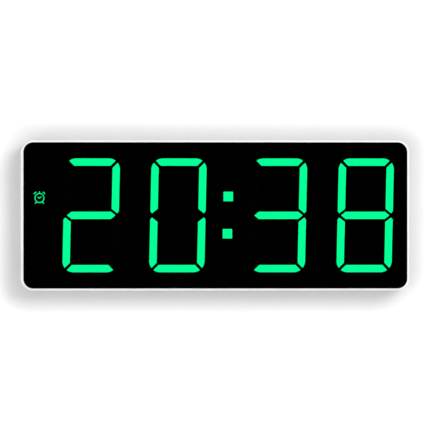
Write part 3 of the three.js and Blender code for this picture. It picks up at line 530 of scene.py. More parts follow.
# Front frame: a section carried round the outline, with wider corners on the ledge behind the
# lens, and in it bosses for the screws and ribs.
def makeFrontFrame():
    size = frontFrame
    wall, back, edge = housing["sideWall"], housing["frameBack"], housing["splitEdge"]
    rim, ledge, wide = size["rimWidth"], size["ledgeInset"], size["ledgeRadius"]
    outerRim = housing["frontRound"] * quarterTurn(6) + [0, frontY]
    innerRim = size["rimEdge"] * quarterTurn(2)[:, ::-1] * [-1, 1] + [rim, frontY]
    ledgeFront, ledgeBack = size["ledgeFront"], size["ledgeBack"]
    section = [
        *outerRim, (0.0, back - edge), (edge, back), (wall, back), (wall, ledgeBack),
        (ledge, ledgeBack, wide), (ledge, ledgeFront, wide), (rim, ledgeFront), *innerRim,
    ]
    parts = [carriedRound(section)]
    bore, boss = size["bossBore"], size["bossRadius"]
    bottom, root = size["boreFront"], size["rootFront"]
    tube = [(bore, bottom), (bore, back), (boss, back), (boss, root), (0.0, root), (0.0, bottom)]
    parts += [turned(tube, place, 32, closed=True) for place in screwPlaces]
    levels = root, size["ribBack"]
    for side in (1, -1):
        middle, reach = size["ribPlace"]
        for x in size["ribs"]:
            parts.append(block(x, side * middle, size["ribWidth"], reach, *levels))
        middle, reach = size["sideRib"]
        parts.append(block(side * middle, 0, reach, size["ribWidth"], *levels))
    piece = smoothed(makePiece("frontFrame", parts))
    finishPiece(piece, "front_frame")


lens = {
    "inset": 1.4,
    "front": -13.1,
    "back": -11.1,
    "edge": 0.2,
    "print": 6.6,  # inset of the clear part inside the printed border
    "printRadius": 17.0,
}


# Lens: a sheet whose front edge is rounded, carried round the outline in rings. Black paint
# covers its sides, and on its back a print runs round the border and hides the ledge.
def makeLens():
    shape = faceOutline(lens["inset"])
    steps = 5
    points, faces = plate(shape, lens["front"], lens["back"], lens["edge"], steps)
    rounding = steps * len(shape)
    front = (points, faces[:rounding] + faces[-2:-1], 0)
    sides = (points, faces[rounding:-2], 1)
    border = atLevel(grown(shape, -lens["edge"]), lens["back"])
    window = atLevel(faceOutline(lens["print"], lens["printRadius"]), lens["back"])
    ringPoints, ringFaces = skin([border, window])
    printed = (ringPoints, ringFaces[:-2], 1)
    clear = (window, [list(range(len(window)))], 0)
    piece = smoothed(makePiece("frontLens", [front, sides, printed, clear]))
    finishPiece(piece, "front_lens", ["smokedLens", "blackPrint"])


makeFrontFrame()
makeLens()
print("front frame and lens made")

digits = {
    "width": 35.5,
    "height": 73.2,
    "stroke": 4.8,
    "radius": 7.3,
    "slant": 0.0227,
    "centres": [-79.7, -23.9, 40.7, 96.3],
    # what each digit shows: a is the top bar, then clockwise, and g is the middle
    "shown": ["abdeg", "abcdef", "abcdg", "abcdefg"],
    "windowCentres": [-79.98, -24.1, 40.75, 96.71],
    "windowRise": 0.05,
    "windowWidth": 35.66,
    "windowHeight": 73.4,
    "cornerCut": 1.83,
    "endOutside": 2.6,  # heights of an upright's end above the middle, and the inset of its tip
    "endTip": 1.3,
    "endTipInset": 1.1,
    "endInside": 4.2,
    "barTipInset": 2.15,
    "barTipLength": 2.95,
    "padGap": 0.07,
    "padEdge": 0.04,
    "padFront": -10.6,
    "padRoot": -9.45,
    "plate": (-9.85, -9.05),  # front and back
    "margin": 1.6,
    "fieldRadius": 1.0,
}


# An outline that leans with the digits: x grows by the slant times the height.
def leaned(outline, centre):
    x, z = outline.T
    return np.stack([centre + x + digits["slant"] * z, z], axis=-1)


# The seven segments of a digit before it leans. Each outer corner of the digit is an arc from
# the mitre to the straight side, and the other segments are mirrored from two of them.
def segmentShapes():
    half, top = digits["windowWidth"] / 2, digits["windowHeight"] / 2
    stroke, radius = digits["stroke"], digits["radius"]
    mitre = digits["cornerCut"] / math.sqrt(2)
    swing = math.asin(mitre / (radius * math.sqrt(2)))

    def arc(start, end):
        turn = np.linspace(start, end, 10)
        x = -half + radius * (1 - np.cos(turn))
        return np.stack([x, top - radius * (1 - np.sin(turn))], axis=-1)

    innerX, innerZ = half - stroke, top - stroke
    upper = np.concatenate([
        [[-innerX + mitre, innerZ], [innerX - mitre, innerZ]],
        arc(math.pi / 4 + swing, math.pi / 2) * [-1, 1],
        arc(math.pi / 2, math.pi / 4 + swing),
    ])
    left = np.concatenate([
        arc(math.pi / 4 - swing, 0),
        [
            [-half, digits["endOutside"]],
            [-half + digits["endTipInset"], digits["endTip"]],
            [-innerX, digits["endInside"]],
            [-innerX, innerZ - mitre],
        ],
    ])
    tip = half - digits["barTipInset"]
    shoulder = tip - digits["barTipLength"]
    middle = np.array([
        [-tip, 0], [-shoulder, -stroke / 2], [shoulder, -stroke / 2],
        [tip, 0], [shoulder, stroke / 2], [-shoulder, stroke / 2],
    ])
    right = (left * [-1, 1])[::-1]
    return {
        "a": upper, "b": right, "c": (right * [1, -1])[::-1], "d": (upper * [1, -1])[::-1],
        "e": (left * [1, -1])[::-1], "f": left, "g": middle,
    }


def withoutRepeats(outline):
    away = np.linalg.norm(np.roll(outline, -1, axis=0) - outline, axis=1)
    return outline[away > sameWithin]


segments = {name: withoutRepeats(shape) for name, shape in segmentShapes().items()}


# The window of one segment: its shape leans with the digit and stands a little above the middle.
def windowOutline(number, key):
    return leaned(segments[key], digits["windowCentres"][number]) + [0, digits["windowRise"]]


# The raised pad under a window of the mask.
def padUnder(window):
    outline = grown(window, -digits["padGap"])
    return plate(outline, digits["padFront"], digits["padRoot"], digits["padEdge"], 1)


# Gives a diffuser its looks: dark plastic, and a glow where a part has the index 1.
def finishDiffuser(piece, name):
    looks = ["unlitSegments", "litSegments"]
    finishPiece(smoothed(piece), f"{name}_diffuser", looks)


# Digit: a milky plate with two open fields, and a raised pad under each window of the mask. The
# pads of the segments that are on glow.
def makeDigit(number):
    centre, shown = digits["centres"][number], digits["shown"][number]
    margin, stroke, radius = digits["margin"], digits["stroke"], digits["radius"]
    front, back = digits["plate"]
    width, height = digits["width"] + 2 * margin, digits["height"] + 2 * margin
    outside = leaned(roundedOutline(width, height, radius + margin, steps=8), centre)
    name = f"digit{number + 1}"
    piece = makePiece(name, [plate(outside, front, back)])
    fieldWidth = digits["width"] - 2 * (stroke + margin)
    barToBar = (digits["height"] - stroke) / 2
    fieldHeight = barToBar - stroke - 2 * margin
    cutters = []
    for z in (barToBar / 2, -barToBar / 2):
        field = roundedOutline(fieldWidth, fieldHeight, digits["fieldRadius"], (0, z), 4)
        cutters.append(through(leaned(field, centre), front, back))
    carve(piece, cutters)
    pads = [(*padUnder(windowOutline(number, key)), int(key in shown)) for key in segments]
    padMesh = meshOf(name + "Pads", pads)
    joined = bmesh.new()
    joined.from_mesh(piece.data)
    joined.from_mesh(padMesh)
    joined.to_mesh(piece.data)
    joined.free()
    bpy.data.meshes.remove(padMesh)
    finishDiffuser(piece, f"digit_{number + 1}")


for number in range(4):
    makeDigit(number)

colon = {"x": 8.07, "rise": 0.2, "spacing": 24.0, "square": 6.2, "margin": 1.6, "radius": 1.5}


# The window of one square of the colon, above (1) or below (-1) the middle.
def colonWindow(side):
    rise = side * colon["spacing"] / 2
    return signs * colon["square"] / 2 + [colon["x"] + digits["slant"] * rise, rise + colon["rise"]]


# Colon: a plate like a digit's, with a glowing pad under each of the two square windows.
def makeColon():
    width = colon["square"] + 2 * colon["margin"]
    outline = leaned(roundedOutline(width, width + colon["spacing"], colon["radius"]), colon["x"])
    parts = [plate(outline, *digits["plate"])]
    parts += [(*padUnder(colonWindow(side)), 1) for side in (1, -1)]
    finishDiffuser(makePiece("colon", parts), "colon")


makeColon()
print("digits and colon made")

symbol = {
    "centre": (-113.3, 11.2),
    "radius": 2.89,  # middle of the ring
    "stroke": 0.52,
    "disc": 4.7,
    "plateRadius": 5.3,
    "padRadius": 4.6,
    "padEdge": 0.05,
    "sunk": 0.05,  # how far the sign reaches into its pad
    "front": -10.62,
    "thickness": 0.1,
    # width and both ends of each line, from the centre: two hands, the knob and two feet
    "lines": [
        (0.48, (-1.1, 0.68), (0.05, -0.2)),
        (0.48, (-0.15, -0.25), (1.3, 0.92)),
        (0.6, (0.0, 3.2), (0.0, 4.25)),
        (0.55, (1.7, -2.5), (2.85, -3.55)),
        (0.55, (-1.7, -2.5), (-2.85, -3.55)),
    ],
    "bell": (4.45, 0.66),  # radius and width
    "bellEnds": (29, 54),  # degrees from the top
}


# A flat ribbon along a line of points: each point is moved to both sides along the normal of
# the line, and the two sides are joined into one thin plate.
def ribbon(line, width, front, back):
    line = np.asarray(line, dtype=float)
    along = np.gradient(line, axis=0)
    along /= np.linalg.norm(along, axis=1, keepdims=True)
    normal = np.stack([-along[:, 1], along[:, 0]], axis=-1) * width / 2
    outline = np.concatenate([line + normal, (line - normal)[::-1]])
    return skin([atLevel(outline, front), atLevel(outline, back)])


# The small alarm sign: a dark pad with a glowing ring, two hands, two bells, a knob and feet
# that stand a little proud of it.
def makeSymbol():
    middle = np.array(symbol["centre"])
    front, back = symbol["front"], symbol["front"] + symbol["thickness"]
    pad = circle(symbol["padRadius"], middle)
    parts = [
        plate(circle(symbol["plateRadius"], middle), *digits["plate"]),
        plate(pad, back - symbol["sunk"], digits["padRoot"], symbol["padEdge"], 1),
    ]
    inner, outer = symbol["radius"] + symbol["stroke"] / 2 * np.array([-1, 1])
    glow = [turned(boxSection(inner, outer, front, back), middle, 64, closed=True)]
    for width, *ends in symbol["lines"]:
        glow.append(ribbon(middle + ends, width, front, back))
    radius, width = symbol["bell"]
    for side in (1, -1):
        start, end = (90 - side * angle for angle in symbol["bellEnds"])
        glow.append(ribbon(arcLine(middle, radius, start, end), width, front, back))
    parts += [(*part, 1) for part in glow]
    finishDiffuser(makePiece("alarmSign", parts), "symbol")


makeSymbol()
print("alarm sign made")

mask = {"inset": 6.1, "radius": 17.7, "front": -10.8, "back": -10.3}


# Segment mask: a thin black film with a window over every pad, square to its face.
def makeMask():
    front, back = mask["front"], mask["back"]
    sheet = faceOutline(mask["inset"], mask["radius"])
    piece = makePiece("segmentMask", [plate(sheet, front, back)])
    windows = [windowOutline(number, key) for number in range(4) for key in segments]
    windows += [colonWindow(side) for side in (1, -1)]
    windows.append(circle(symbol["disc"], symbol["centre"]))
    carve(piece, [through(window, front, back) for window in windows])
    finishPiece(piece, "segment_mask", ["blackFilm"])


makeMask()
print("mask made")

# Pieces that keep the shape of the frame get a finish of their own.
carried = {
    "boxPlastic": ["light_box"],
    "boardGreen": ["display_board"],
    "blackPlastic": ["controller_chip", "smoothing_capacitor", "buzzer", "cell_holder"],
    "brightSteel": ["clock_crystal", "cell_contact", "coin_cell", "stand_pin"],
}
buttonNames = ("set", "up", "down", "alarm", "dimmer")
for name in buttonNames:
    carried["blackPlastic"] += [f"{name}_switch", f"{name}_plunger"]
for look, nodes in carried.items():
    for node in nodes:
        frame["nodes"][node].material_slots[0].material = finish[look]
print("carried pieces finished")

gap = 0.3  # room between pieces that don't touch
cover = {
    "inside": 11.5,
    "insideRound": 1.2,
    "wallFoot": 12.0,  # where posts, ribs and pockets end, inside the rear wall
    "pocketWall": 1.6,
    "lip": (2.1, 3.3),  # outer and inner inset
    "lipRoot": 1.5,
    "lipFront": 2.0,
    "lipBack": 5.8,
    "post": 3.8,
    "screwSeat": 9.3,
    "screwBore": 3.1,
    "shankBore": 1.6,
    "holdDowns": (40.0, 38.0),
    "holdDown": (2.5, 0.4),  # radius and front
    "ribHeight": 3.0,
    # middle, width and height of each rib
    "ribs": [
        (34.0, 0.0, 1.2, 87.2),
        (-34.0, 0.0, 1.2, 87.2),
        (75.5, -10.4, 83.0, 1.2),
        (-75.5, -0.5, 83.0, 1.2),
    ],
    "boreEdge": 0.15,  # rounding of the small openings
    "soundEdge": 0.2,
}
stand = {
    "width": 50.0,
    "footWidth": 42.0,
    "length": 62.0,
    "hingeZ": 22.0,
    "hingeY": 10.7,
    "thickness": 2.6,
    "back": 13.3,
    "edge": 0.5,
    "footRadius": 6.0,
    "gap": 0.7,
    "swingGap": 0.5,  # room round the knuckle
    "pinRadius": 1.1,
    "pinGap": 0.25,
    "pinReach": 3.0,
    "window": (24.0, 35.0, 4.0),  # width, height and corner radius
    "windowZ": -5.3,
    "windowEdge": 0.4,
    "scoopRadius": 10.0,
    "scoopZ": -34.2,
    "groove": (12.0, 0.7, 0.34),  # fingertip grooves: length, width and end radius
    "grooveDepth": 0.35,
    "grooveEdge": 0.1,
    "grooves": (-36.6, -34.4, -32.2, -30.0),
}
keyhole = {"x": 85.0, "z": 24.0, "head": 4.3, "neck": 2.2, "rise": 8.0}
door = {
    "centre": (-70.0, -20.0),
    "radius": 13.5,
    "edge": 0.25,
    "front": 12.35,
    "back": 13.35,
    "seat": 12.2,
    "skirt": 11.2,
    "skirtWall": 1.2,
    "skirtFront": 5.8,
    "tabOuter": 12.5,
    "tabRoot": 0.6,
    "tab": (10.0, 11.2),  # front and back
    "tabAngle": 30.0,
    "notchAngle": 34.0,
    "turn": 60.0,
    "shroud": (12.9, 14.3),
    "slot": (13.0, 2.0),  # length and width
    "slotDepth": 0.6,
    "slotEdge": 0.2,
    "ring": (10.6, 10.4, 10.1, 9.9),  # radii of the shallow groove round the slot
    "ringDepth": 0.15,
}
buttons = {
    "xs": [46.0, 59.0, 72.0, 85.0, 98.0],
    "z": 2.0,
    "radius": 3.4,
    "back": 13.0,
    "edge": 0.45,
    "dishMargin": 0.7,
    "dishDepth": 0.28,
    "stem": (1.5, 5.3),  # radius and front
    "flange": (4.4, 9.0, 10.2),  # radius, front and back
    "bore": 3.7,
    "row": (64.4, 12.4),
    "floor": 12.1,
    "inside": 10.5,
}
socket = {
    "centre": (100.0, -28.0),
    "size": (8.9, 3.2),
    "recess": (15.7, 10.0, 3.4),  # width, height and corner radius
    "floor": 11.0,
    "front": 0.2,
    "wall": 0.35,
    "edge": 0.1,
    "innerEdge": 0.15,
    "bore": 5.0,
    "tongue": (6.675, 0.7, 0.2),  # width, height and corner radius
    "tongueBack": 10.0,
    "contacts": 8,
    "contact": (0.32, 0.06),  # width and height
    "contactRise": 0.36,
    "contactPitch": 0.7,
    "contactBack": 9.6,
}
sounder = {"centre": (-100.0, 8.0), "ring": 3.6, "hole": 1.1}


# A point on a quadratic curve: (1 - t) squared times the first, 2 t (1 - t) times the middle
# and t squared times the last.
def bend(first, middle, last, steps=10):
    t = np.linspace(0, 1, steps)[:, None]
    first, middle, last = np.array(first), np.array(middle), np.array(last)
    return (1 - t) ** 2 * first + 2 * t * (1 - t) * middle + t ** 2 * last


# The outline of the folded stand: straight at the hinge, a little narrower at its round foot.
def standOutline():
    half, foot, radius = stand["width"] / 2, stand["footWidth"] / 2, stand["footRadius"]
    bottom = stand["hingeZ"] - stand["length"]
    run = (half - foot) / stand["length"] * radius
    return np.concatenate([
        [[half, stand["hingeZ"]], [-half, stand["hingeZ"]]],
        bend((-foot - run, bottom + radius), (-foot, bottom), (-foot + radius, bottom)),
        bend((foot - radius, bottom), (foot, bottom), (foot + run, bottom + radius)),
    ])


# The hole for the hinge pin, through a length of the stand or the cover.
def pinHole(length):
    return crossBar(stand["pinRadius"] + stand["pinGap"], length, stand["hingeY"], stand["hingeZ"])


# A part of a ring between two radii, spread evenly to both sides of an angle.
def ringSector(inner, outer, middle, spread, centre, steps=10):
    ends = middle - spread / 2, middle + spread / 2
    outside = arcLine(centre, outer, *ends, steps)
    return np.concatenate([outside, arcLine(centre, inner, *ends, steps)[::-1]])


# The outline of a keyhole: half a turn round the top of the neck, then the long way round the
# head from one side of the neck to the other.
def keyholeOutline(x):
    side = math.degrees(math.asin(keyhole["neck"] / keyhole["head"]))
    top = arcLine((x, keyhole["z"] + keyhole["rise"]), keyhole["neck"], 0, 180, 17)
    head = arcLine((x, keyhole["z"]), keyhole["head"], 90 + side, 450 - side, 41)
    return np.concatenate([top, head])


# what the rear cover leaves open for the stand, the buttons and the inlet
recess = grown(standOutline(), stand["gap"])
pocketFloor = stand["back"] - stand["thickness"] - gap
hingeFront = stand["hingeY"] - stand["thickness"] - gap
knuckleRoom = stand["thickness"] + stand["swingGap"]
pinLength = stand["width"] + 2 * (stand["gap"] + stand["pinReach"])
rowWidth, rowHeight = buttons["row"]
rowMiddle = buttons["xs"][2], buttons["z"]
row = roundedOutline(rowWidth, rowHeight, rowHeight / 2 - apart, rowMiddle, 12)
socketRecess = roundedOutline(*socket["recess"], socket["centre"], 8)


# A rounded edge from a side up to the back, as pairs of radius and level. Where insets stand in
# place of radii, inward is 1, since they grow towards the middle.
def roundedRim(radius, back, edge, steps, inward=-1):
    return [(radius + inward * inset, back - fall) for fall, inset in edge * quarterTurn(steps)]


# The shell of the rear cover: over its inside, round its front edge and over the outside.
def coverShell():
    wall, inside = housing["sideWall"], cover["inside"]
    front, edge = housing["coverFront"], housing["splitEdge"]
    section = roundedRim(wall, inside, cover["insideRound"], 4, 1)[::-1]
    section += [(wall, front), (edge, front), (0.0, front + edge)]
    section += roundedRim(0.0, rearY, housing["rearRound"], 10, 1)
    return carriedRound(section, closed=False)


# What is joined on to the shell of the rear cover: its lip, the walls of the pockets, a shroud
# round the battery, posts and ribs.
def coverAdditions():
    front, foot, wall = housing["coverFront"], cover["wallFoot"], cover["pocketWall"]
    outer, inner = cover["lip"]
    lip = boxSection(inner, outer, cover["lipFront"], cover["lipBack"])
    foundation = boxSection(inner - apart, cover["lipRoot"], front, cover["lipBack"] - apart)
    scoop = circle(stand["scoopRadius"] + wall, (0, stand["scoopZ"]), 64)
    shroud = boxSection(*door["shroud"], door["skirtFront"], foot)
    hinge = pinLength + 2 * wall, 2 * (knuckleRoom + wall)
    parts = [
        carriedRound(lip),
        carriedRound(foundation),
        plate(grown(recess, wall), pocketFloor - wall, foot),
        plate(scoop, pocketFloor - wall - apart, foot + apart),
        block(0, stand["hingeZ"], *hinge, hingeFront - wall, foot + 2 * apart),
        plate(grown(row, wall), buttons["inside"], foot),
        plate(grown(socketRecess, wall), socket["floor"] - wall, foot),
        turned(shroud, door["centre"], 64, closed=True),
    ]
    for place in screwPlaces:
        parts.append(plate(circle(cover["post"], place, 40), front, foot))
    radius, top = cover["holdDown"]
    for place in signs * cover["holdDowns"]:
        parts.append(plate(circle(radius, place, 32), top, foot))
    ribTop, ribFoot = cover["inside"] - cover["ribHeight"], foot - 3 * apart
    for index, rib in enumerate(cover["ribs"]):
        shift = apart * (index // 2)
        parts.append(block(*rib, ribTop - shift, ribFoot - shift))
    return parts


# What is cut out of the rear cover: pockets for the stand, the door, the buttons and the inlet,
# keyholes, sound holes and the bores of the screws.
def coverOpenings():
    inside, small = cover["inside"], cover["boreEdge"]
    hinge = signs * [stand["width"] / 2 + stand["gap"], knuckleRoom] + [0, stand["hingeZ"]]
    width, height = np.array(socket["size"]) + 2 * gap
    inlet = roundedOutline(width, height, height / 2 - apart, socket["centre"], 10)
    parts = [
        mouth(recess, pocketFloor),
        mouth(circle(stand["scoopRadius"], (0, stand["scoopZ"]), 64), pocketFloor + apart),
        mouth(hinge, hingeFront),
        pinHole(pinLength),
        mouth(circle(door["radius"] + gap, door["centre"], 96), door["seat"]),
        plate(circle(door["skirt"] + gap, door["centre"], 96), inside - cutPast, rearY + overlap),
        mouth(row, buttons["floor"]),
        mouth(socketRecess, socket["floor"]),
        mouth(inlet, socket["floor"] - cover["pocketWall"] - cutPast, socket["floor"], small),
    ]
    for angle in (-door["turn"], 180 - door["turn"]):
        radii = door["skirt"], door["tabOuter"] + gap
        notch = ringSector(*radii, angle, door["notchAngle"], door["centre"])
        parts.append(plate(notch, inside - cutPast - apart, rearY - overlap))
    for x in (-keyhole["x"], keyhole["x"]):
        parts.append(mouth(keyholeOutline(x), inside - cutPast))
    for x in buttons["xs"]:
        bore = circle(buttons["bore"], (x, buttons["z"]), 40)
        parts.append(mouth(bore, buttons["inside"] - cutPast, buttons["floor"], small))
    for hole in [sounder["centre"], *circle(sounder["ring"], sounder["centre"], 6)]:
        opening = circle(sounder["hole"], hole, 24)
        parts.append(mouth(opening, inside - cutPast, rearY, cover["soundEdge"]))
    seat = cover["screwSeat"]
    for place in screwPlaces:
        parts.append(mouth(circle(cover["screwBore"], place, 40), seat))
        shank = circle(cover["shankBore"], place, 24)
        parts.append(through(shank, housing["coverFront"], seat))
    return parts


# Rear cover: posts, pads and ribs are joined on to the shell, and every opening is cut with a
# round edge.
def makeRearCover():
    piece = makePiece("rearCover", [coverShell()])
    carve(piece, coverAdditions(), "UNION")
    carve(piece, coverOpenings())
    finishPiece(smoothed(piece), "rear_cover")


# Battery door: a disc with a round edge, a skirt, two locking tabs and a slot for a coin.
def makeDoor():
    front, back, skirt, skirtFront = door["front"], door["back"], door["skirt"], door["skirtFront"]
    inner = skirt - door["skirtWall"]
    depths = back - door["ringDepth"] * np.array([0, 1, 1, 0])
    profile = [
        (inner, skirtFront), (skirt, skirtFront), (skirt, front), (door["radius"], front),
        *roundedRim(door["radius"], back, door["edge"], 4),
        *zip(door["ring"], depths),
        (0.0, back), (0.0, front), (inner, front),
    ]
    piece = makePiece("batteryDoor", [turned(profile, door["centre"], 96, closed=True)])
    radii = skirt - door["tabRoot"], door["tabOuter"]
    tabs = [ringSector(*radii, angle, door["tabAngle"], door["centre"]) for angle in (0, 180)]
    carve(piece, [plate(tab, *door["tab"]) for tab in tabs], "UNION")
    length, width = door["slot"]
    slot = roundedOutline(length, width, width / 2 - apart, door["centre"], 8)
    carve(piece, [mouth(slot, back - door["slotDepth"], back, door["slotEdge"])])
    finishPiece(smoothed(piece), "battery_door", body="battery_door")


# Stand: a flat leg with soft edges and a window, a knuckle bored for the pin and shallow
# grooves for the fingertip.
def makeStand():
    thickness, back = stand["thickness"], stand["back"]
    front = back - thickness
    piece = makePiece("standLeg", [plate(standOutline(), front, back, stand["edge"], 4)])
    knuckle = crossBar(thickness, stand["width"], stand["hingeY"], stand["hingeZ"], 48)
    carve(piece, [knuckle], "UNION")
    window = roundedOutline(*stand["window"], (0, stand["windowZ"]), 10)
    cutters = [
        mouth(window, front - cutPast, back, stand["windowEdge"]),
        pinHole(stand["width"] + 2 * cutPast),
    ]
    for z in stand["grooves"]:
        groove = roundedOutline(*stand["groove"], (0, z), 4)
        cutters.append(mouth(groove, back - stand["grooveDepth"], back, stand["grooveEdge"]))
    carve(piece, cutters)
    finishPiece(smoothed(piece), "stand_leg", body="stand")


# Push button: a turned cap with its flange and its stem, and a shallow dish whose depth is
# 1 less the square of the share of the dish's radius.
def makeButton(name, x):
    radius, back = buttons["radius"], buttons["back"]
    stem, stemFront = buttons["stem"]
    flange, flangeFront, flangeBack = buttons["flange"]
    share = np.linspace(1, 0, 9)
    dishRadii = share * (radius - buttons["dishMargin"])
    dish = zip(dishRadii, back - buttons["dishDepth"] * (1 - share ** 2))
    profile = [
        (0.0, stemFront), (stem, stemFront), (stem, flangeFront), (flange, flangeFront),
        (flange, flangeBack), (radius, flangeBack),
        *roundedRim(radius, back, buttons["edge"], 5),
        *dish,
    ]
    piece = smoothed(makePiece(f"{name}Button", [turned(profile, (x, buttons["z"]), 48)]))
    finishPiece(piece, f"{name}_button", body=f"{name}_button")


screws = {
    "rear": {
        "places": screwPlaces.tolist(),
        "seat": cover["screwSeat"],
        "length": 15.0,
        "shank": 1.35,
        "head": 2.8,
        "rise": 1.8,
        "look": ("darkScrew", "dark_screw"),
    },
    "board": {
        "places": [(-51.8, 34.0), (-51.8, -34.0), (68.5, 34.0), (68.5, -34.0)],
        "seat": 0.2,
        "length": 6.0,
        "shank": 1.0,
        "head": 2.1,
        "rise": 1.3,
        "look": ("brightSteel", "bright_steel"),
    },
}
# shares of the radius or the rise of the head
crossArm, crossWidth, crossDepth, crossFloor = 0.62, 0.13, 0.55, 0.6
headSide, tipRadius = 0.4, 0.6
headLift = 0.1  # room under a head, and how far its cross is cut past the top


# Screw: a turned shank and domed head, with a cross cut into it that narrows with depth.
def makeScrew(kind, number, place):
    size = screws[kind]
    shank, head, rise = size["shank"], size["head"], size["rise"]
    under = size["seat"] + headLift
    tip = size["seat"] - size["length"]
    turn = np.radians(np.linspace(0, 90, 7))
    dome = zip(head * np.cos(turn), under + rise * (headSide + (1 - headSide) * np.sin(turn)))
    profile = [
        (0.0, tip), (shank * tipRadius, tip), (shank, tip + shank), (shank, under), (head, under),
        *dome,
    ]
    piece = makePiece(f"{kind}Screw{number}", [turned(profile, place, 32)])
    arm = head * np.array([crossArm, crossWidth])
    bottom, top = under + rise * (1 - crossDepth), under + rise + headLift
    cross = []
    for half in (arm, arm[::-1]):
        narrow, wide = place + signs * half * crossFloor, place + signs * half
        cross.append(skin([atLevel(narrow, bottom), atLevel(wide, top)]))
    carve(piece, cross)
    look, slot = size["look"]
    finishPiece(smoothed(piece, 30), f"{kind}_screw_{number}", [look])


# Power inlet: a cup with a stadium outline, and in it a tongue with bright contacts.
def makeSocket():
    width, height = socket["size"]
    x, z = socket["centre"]
    floor, wall, bore = socket["floor"], socket["wall"], socket["bore"]

    def stadium(inset):
        radius = height / 2 - inset - apart / 2
        return roundedOutline(width - 2 * inset, height - 2 * inset, radius, (x, z), 12)

    edge = socket["edge"]
    levels = [
        (0, socket["front"]), (0, floor - edge), (edge, floor), (wall - edge, floor),
        (wall, floor - socket["innerEdge"]), (wall, bore),
    ]
    cup = skin([atLevel(stadium(inset), level) for inset, level in levels])
    tongue = roundedOutline(*socket["tongue"], (x, z), 3)
    parts = [cup, (*plate(tongue, bore - overlap, socket["tongueBack"]), 1)]
    count, pitch = socket["contacts"], socket["contactPitch"]
    for offset in pitch * (np.arange(count) - (count - 1) / 2):
        for side in (1, -1):
            middle = x + offset, z + side * socket["contactRise"]
            contact = block(*middle, *socket["contact"], bore, socket["contactBack"])
            parts.append((*contact, 2))
    piece = smoothed(makePiece("powerSocket", parts))
    looks = ["brightSteel", "blackPlastic", "contactGold"]
    finishPiece(piece, "power_socket", looks)


makeRearCover()
print("rear cover made")
makeDoor()
makeStand()
for name, x in zip(buttonNames, buttons["xs"]):
    makeButton(name, x)
makeSocket()
for kind, size in screws.items():
    for number, place in enumerate(size["places"], 1):
        makeScrew(kind, number, place)
print("back pieces made")

studio = {
    "wallY": 14.2,  # the wall stands just behind the clock
    "wallRow": 300.0,  # a row of points above the clock keeps the wall's shading even
    "floorZ": -420.0,
    "turn": 200.0,
    "reach": 2600.0,
    "height": 1900.0,
    "paper": ((0.60, 0.60, 0.60, 1), (0.62, 0.62, 0.62, 1)),
    "paperScale": 6.0,
    "paperRoughness": 0.9,
    "wallGlow": 0.43,  # what the camera sees of the wall where no light falls
    # nearShade, shadeDepth, shadeFall and cornerShade set the painted shade that darkens the wall's
    # glow round the clock
    "nearShade": 19.0,  # how far the soft shade round the clock reaches
    "shadeDepth": 2.66,
    "shadeFall": 1.35,
    "cornerShade": 0.5,  # how far the shade keeps its depth round the corners
    "worldLight": 0.3,
}


# The light that the painted shade round the clock leaves in the wall's glow, from the distance to
# its outline alone: one less half of (1 - distance / reach) to a power. The distance is the length
# of what the place lies beyond the centres of the corners, less the radius of a corner.
def paintedOpenLight(tree, place):
    axes = fedNode(tree, "ShaderNodeSeparateXYZ", {0: place}).outputs
    radius, reach = housing["cornerRadius"], studio["nearShade"]
    squares = []
    for name, centre, half in (("X", 0.0, housing["width"] / 2), ("Z", midHeight, midHeight)):
        beside = mathOf(tree, "ABSOLUTE", mathOf(tree, "SUBTRACT", axes[name], centre * mm))
        inside = mathOf(tree, "SUBTRACT", beside, (half - radius) * mm)
        beyond = mathOf(tree, "MAXIMUM", inside, 0.0)
        squares.append(mathOf(tree, "MULTIPLY", beyond, beyond))
    length = mathOf(tree, "SQRT", mathOf(tree, "ADD", *squares))
    left = ranged(tree, length, radius * mm, (radius + reach) * mm, 1.0, 0.0)
    covered = mathOf(tree, "POWER", left, studio["shadeFall"])
    return mathOf(tree, "SUBTRACT", 1.0, mathOf(tree, "MULTIPLY", covered, 0.5))


# 1 where a ray comes from the camera or from a mirror or clear surface, and 0 elsewhere.
def seenBy(tree, path):
    seen = mathOf(tree, "MAXIMUM", path["Is Camera Ray"], path["Is Glossy Ray"])
    return mathOf(tree, "MAXIMUM", seen, path["Is Transmission Ray"])


# Puts a mix of two shaders into the output of a material; None stands for a clear one.
def mixSurface(tree, factor, *shaders):
    mix = fedNode(tree, "ShaderNodeMixShader", {0: factor})
    for socket, shader in zip(mix.inputs[1:], shaders):
        shader = shader or addNode(tree, "ShaderNodeBsdfTransparent").outputs[0]
        feed(tree, socket, shader)
    feed(tree, tree.nodes["Material Output"].inputs["Surface"], mix.outputs[0])


def principled(tree):
    return tree.nodes["Principled BSDF"].outputs[0]


# The paper of the stage: it glows a little for the camera, and a painted shade darkens that glow
# close to the clock. It is clear for shadow rays and from behind.
def stageMaterial():
    material, tree, shader = newMaterial("stagePaper")
    place = objectPlace(tree)
    cloud = noiseOf(tree, place, studio["paperScale"])
    # painted shade: rays that find the clock nearby, and the distance to its outline, darken the
    # wall's glow round the clock
    inputs = {"Distance": studio["nearShade"] * mm}
    near = fedNode(tree, "ShaderNodeAmbientOcclusion", inputs, samples=8).outputs["AO"]
    share = studio["cornerShade"]
    fromRays = mathOf(tree, "MULTIPLY", near, 1 - share)
    fromDistance = mathOf(tree, "MULTIPLY", paintedOpenLight(tree, place), share)
    light = mathOf(tree, "ADD", fromRays, fromDistance)
    shade = mathOf(tree, "POWER", light, studio["shadeDepth"])
    path = addNode(tree, "ShaderNodeLightPath").outputs
    shown = mathOf(tree, "MULTIPLY", seenBy(tree, path), shade)
    feedAll(tree, shader, {
        "Base Color": mixedColour(tree, cloud, *studio["paper"]),
        "Roughness": studio["paperRoughness"],
        "Specular IOR Level": 0.0,
        "Emission Color": (1, 1, 1, 1),
        "Emission Strength": mathOf(tree, "MULTIPLY", shown, studio["wallGlow"]),
    })
    behind = addNode(tree, "ShaderNodeNewGeometry").outputs["Backfacing"]
    clear = mathOf(tree, "MAXIMUM", path["Is Shadow Ray"], behind)
    mixSurface(tree, clear, principled(tree), None)
    return material


